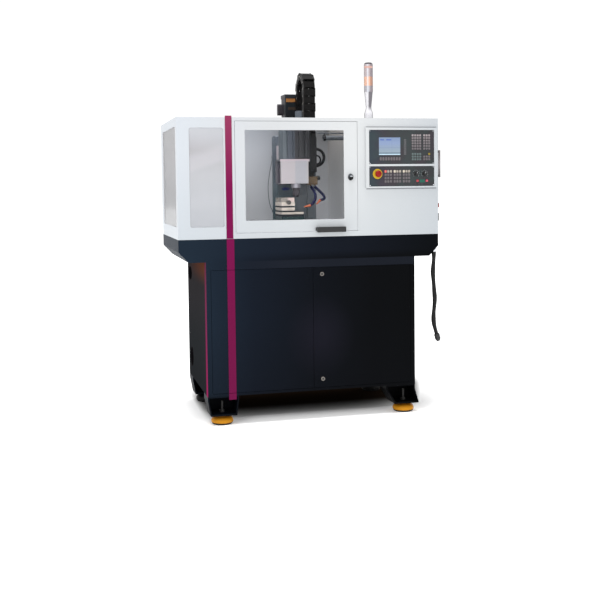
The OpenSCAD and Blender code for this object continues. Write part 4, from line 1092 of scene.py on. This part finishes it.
def pinShapes():
    # a pin on both sides of the chain at each spot, spots given from the middle of its bend
    bend, pitch = chain["bend"], chain["pinPitch"]
    spots = [(-bend, -i * pitch) for i in range(chain["frontPins"])]
    spots += [(bend, -i * pitch) for i in range(chain["rearPins"])]
    spots += [(bend * math.cos(a), bend * math.sin(a)) for a in map(math.radians, range(30, 180, 30))]
    return [turned(chain["pin"], (chain["x"] + side * chain["pinFace"], chain["y"] + y, chain["z"] + z),
                   (side, 0, 0), 16) for y, z in spots for side in (-1, 1)]


cableMesh = joined(*[swept(chainLine(across, rise), radius, 12, (1, 0, 0))
                     for across, rise, radius in chain["cables"]])
makePiece("chain_cables", cableMesh, conduitBlack, "chain")
pinGrey = plasticLook("chainPins", "8C8782", "6E6A66", 0.45)
makePiece("chain_pins", joined(*pinShapes()), pinGrey, "chain")
print("hoses and chain made")


# Small fittings of the work space, the motor and the cabinet's side

wire = {"radius": 2.0, "clips": [[-140, -132, 462, 474, 1572, 1584], [-140, -132, 462, 474, 1230, 1242]],
        "route": [(-133, 468, 1578), (-139, 468, 1545), (-152, 470, 1480), (-161, 470, 1420),
                  (-163, 470, 1371), (-158, 470, 1308), (-147, 470, 1262), (-133, 468, 1236)]}
wireMesh = joined(swept(smoothLine(wire["route"], 10), wire["radius"], 10), blocks(wire["clips"]))
makePiece("side_wire", wireMesh, lampGrey, "frame", angle=45)

lampHolder = {"place": (157, 300, 1692), "lug": [159, 166, 296, 304, 1711, 1719],
              "clip": [(15.3, 0), (19, 0), (20, 1.5), (20, 9.5), (19, 11), (15.3, 11), (15.3, 0)],
              "bar": [120, 331, 291, 309, 1718, 1724.5], "drop": [325, 331, 291, 309, 1700, 1718]}
clipMesh = joined(turned(lampHolder["clip"], lampHolder["place"], (1, 0, 0), 40),
                  blocks([lampHolder["lug"]]))
makePiece("lamp_clip", clipMesh, conduitBlack, "frame", bevel=0.4)
makePiece("lamp_bracket_bar", blocks([lampHolder["bar"], lampHolder["drop"]]), lampGrey, "frame",
          bevel=1.0)

plate = {"y": 577, "corner": 3.5, "rivet": [(0, 0), (1.8, 0), (1.6, 0.7), (0.9, 1.1), (0, 1.2)],
         "upper": (-14, 47, 1936, 1959), "lower": (0, 50, 1886, 1904)}


def plateShape(x0, x1, z0, z1):
    # blank plate with a rivet in each corner
    y, inset = plate["y"], plate["corner"]
    rivets = [turned(plate["rivet"], (x, y - 1.0, z), outward, 16)
              for x in (x0 + inset, x1 - inset) for z in (z0 + inset, z1 - inset)]
    return joined(blocks([[x0, x1, y - 1.0, y + 0.4, z0, z1]]), *rivets)


plateOrange = plasticLook("plateOrange", "B27A44", "96602F", 0.45, scale=12.0, specular=0.25)
plateBrown = plasticLook("plateBrown", "43352B", "2E2520", 0.5, scale=12.0, specular=0.2)
makePiece("motor_plate", plateShape(*plate["upper"]), plateOrange, "frame", bevel=0.3)
makePiece("motor_badge", plateShape(*plate["lower"]), plateBrown, "frame", bevel=0.3)

# oval recesses on the left side: each one's middle, half width and half height; each row's share of the
# oval and its height off the sheet
grip = {"sheet": -640, "sides": 48, "ovals": [(670, 845, 74, 42), (645, 307, 60, 60)],
        "rows": [(1.0, -0.3), (1.0, 1.4), (0.97, 2.2), (0.92, 2.2), (0.89, 1.2), (0.87, 0.35), (0.5, 0.25),
                 (0.0, 0.25)]}


def gripShape(y, z, wide, high):
    # lip, wall and sunk middle as nested ovals, closed behind by faces to one point
    rows, sides = np.array(grip["rows"]), grip["sides"]
    angle = np.arange(sides) * 2 * math.pi / sides
    front = np.stack([np.broadcast_to(grip["sheet"] - rows[:, 1:], (len(rows), sides)),
                      y + wide * rows[:, :1] * np.cos(angle), z + high * rows[:, :1] * np.sin(angle)], -1)
    points = np.concatenate([front, np.broadcast_to([[[grip["sheet"] + 0.5, y, z]]], (1, sides, 3))])
    behind = gridFaces(2, sides) % sides + np.array([0, 0, 1, 1]) * len(rows) * sides
    return points.reshape(-1, 3), np.concatenate([gridFaces(len(rows), sides), behind])


def gripVarying(tree):
    # dull black, a little browner and lighter on the lip
    x = tree.axes()[0]
    tone = tree.blend((x < -0.6612) * 0.8, colour("08080A"), colour("17110F"))
    return {"Base Color": tree.blend(tree.noise(40.0) * 0.2, tone, colour("101012")), "Matte": x < 0.0}


gripBlack = makeLook("gripBlack", {"Roughness": 0.8}, gripVarying)
gripsMesh = joined(*[gripShape(*oval) for oval in grip["ovals"]])
makePiece("side_grips", gripsMesh, gripBlack, "frame", angle=40)
print("small fittings made")


# Floor, light and surroundings

def floorVarying(tree):
    # pale studio floor with a painted soft shadow under the machine: straight fades to the left, to the front
    # and to the right, where its edge slants back; a faint painted glow lifts the shadow on the floor in
    # front
    x, y = tree.axes()[:2]
    right = x - y * 0.4
    shade = x.rise(-0.650, -0.545) * y.rise(-0.200, 0.085) * right.rise(0.800, 0.700) * y.rise(0.70, 0.44)
    pale = tree.blend(tree.noise(0.4, 2.0), colour("FCFCFC"), colour("FEFEFE"))
    glow = y.rise(-0.17, -0.27) * y.rise(-0.62, -0.48) * x.rise(-0.66, -0.56) * right.rise(0.82, 0.72)
    return {"Base Color": tree.blend(1.0 - (1.0 - shade * 0.97).power(2.2), pale, colour("1A130D")),
            "Emission Color": tree.blend(glow, colour("000000"), colour("FFFFFF"))}


floorLook = makeLook("paleFloor", {"Roughness": 0.9, "Specular IOR Level": 0.0, "Emission Strength": 0.2},
                     floorVarying)
floor = {"half": 60.0, "lines": 9, "z": -0.0005}
reach = np.linspace(-floor["half"], floor["half"], floor["lines"])
floorPoints = np.stack([*np.meshgrid(reach, reach), np.full((len(reach), len(reach)), floor["z"])], -1)
floorFaces = gridFaces(len(reach), len(reach), wrap=False)[:, ::-1]
floorMesh = bpy.data.meshes.new("floor")
floorMesh.from_pydata(floorPoints.reshape(-1, 3).tolist(), [], floorFaces.tolist())
floorMesh.materials.append(floorLook)
floorPiece = bpy.data.objects.new("floor", floorMesh)
bpy.context.scene.collection.objects.link(floorPiece)

world = bpy.data.worlds.new("studio")
bpy.context.scene.world = world
world.use_nodes = True
sky = world.node_tree.nodes["Background"]
sky.inputs["Color"].default_value = (1.0, 1.0, 1.0, 1.0)
sky.inputs["Strength"].default_value = 1.05
bpy.context.scene.view_settings.view_transform = "Standard"


def softBox(name, place, aim, size, power):
    # flat rectangular lamp that faces its aim
    lamp = bpy.data.lights.new(name, "AREA")
    lamp.shape, lamp.size, lamp.size_y, lamp.energy = "RECTANGLE", size[0], size[1], power
    holder = bpy.data.objects.new(name, lamp)
    toward = np.array(aim, float) - np.array(place, float)
    axis, first, second = axesAcross(-toward)
    turn = Matrix(np.column_stack([first, second, axis]).tolist()).to_4x4()
    turn.translation = place
    holder.matrix_world = turn
    bpy.context.scene.collection.objects.link(holder)


softBox("keyLight", place=(-3.2, -4.2, 3.6), aim=(0, 0, 1.2), size=(2.6, 2.0), power=70.0)
overhead = bpy.data.lights.new("overhead", "SUN")
overhead.energy, overhead.angle = 2.4, math.radians(20)
overheadHolder = bpy.data.objects.new("overhead", overhead)
overheadHolder.rotation_euler = (math.radians(6), math.radians(-5), 0)
bpy.context.scene.collection.objects.link(overheadHolder)
print("stage set")
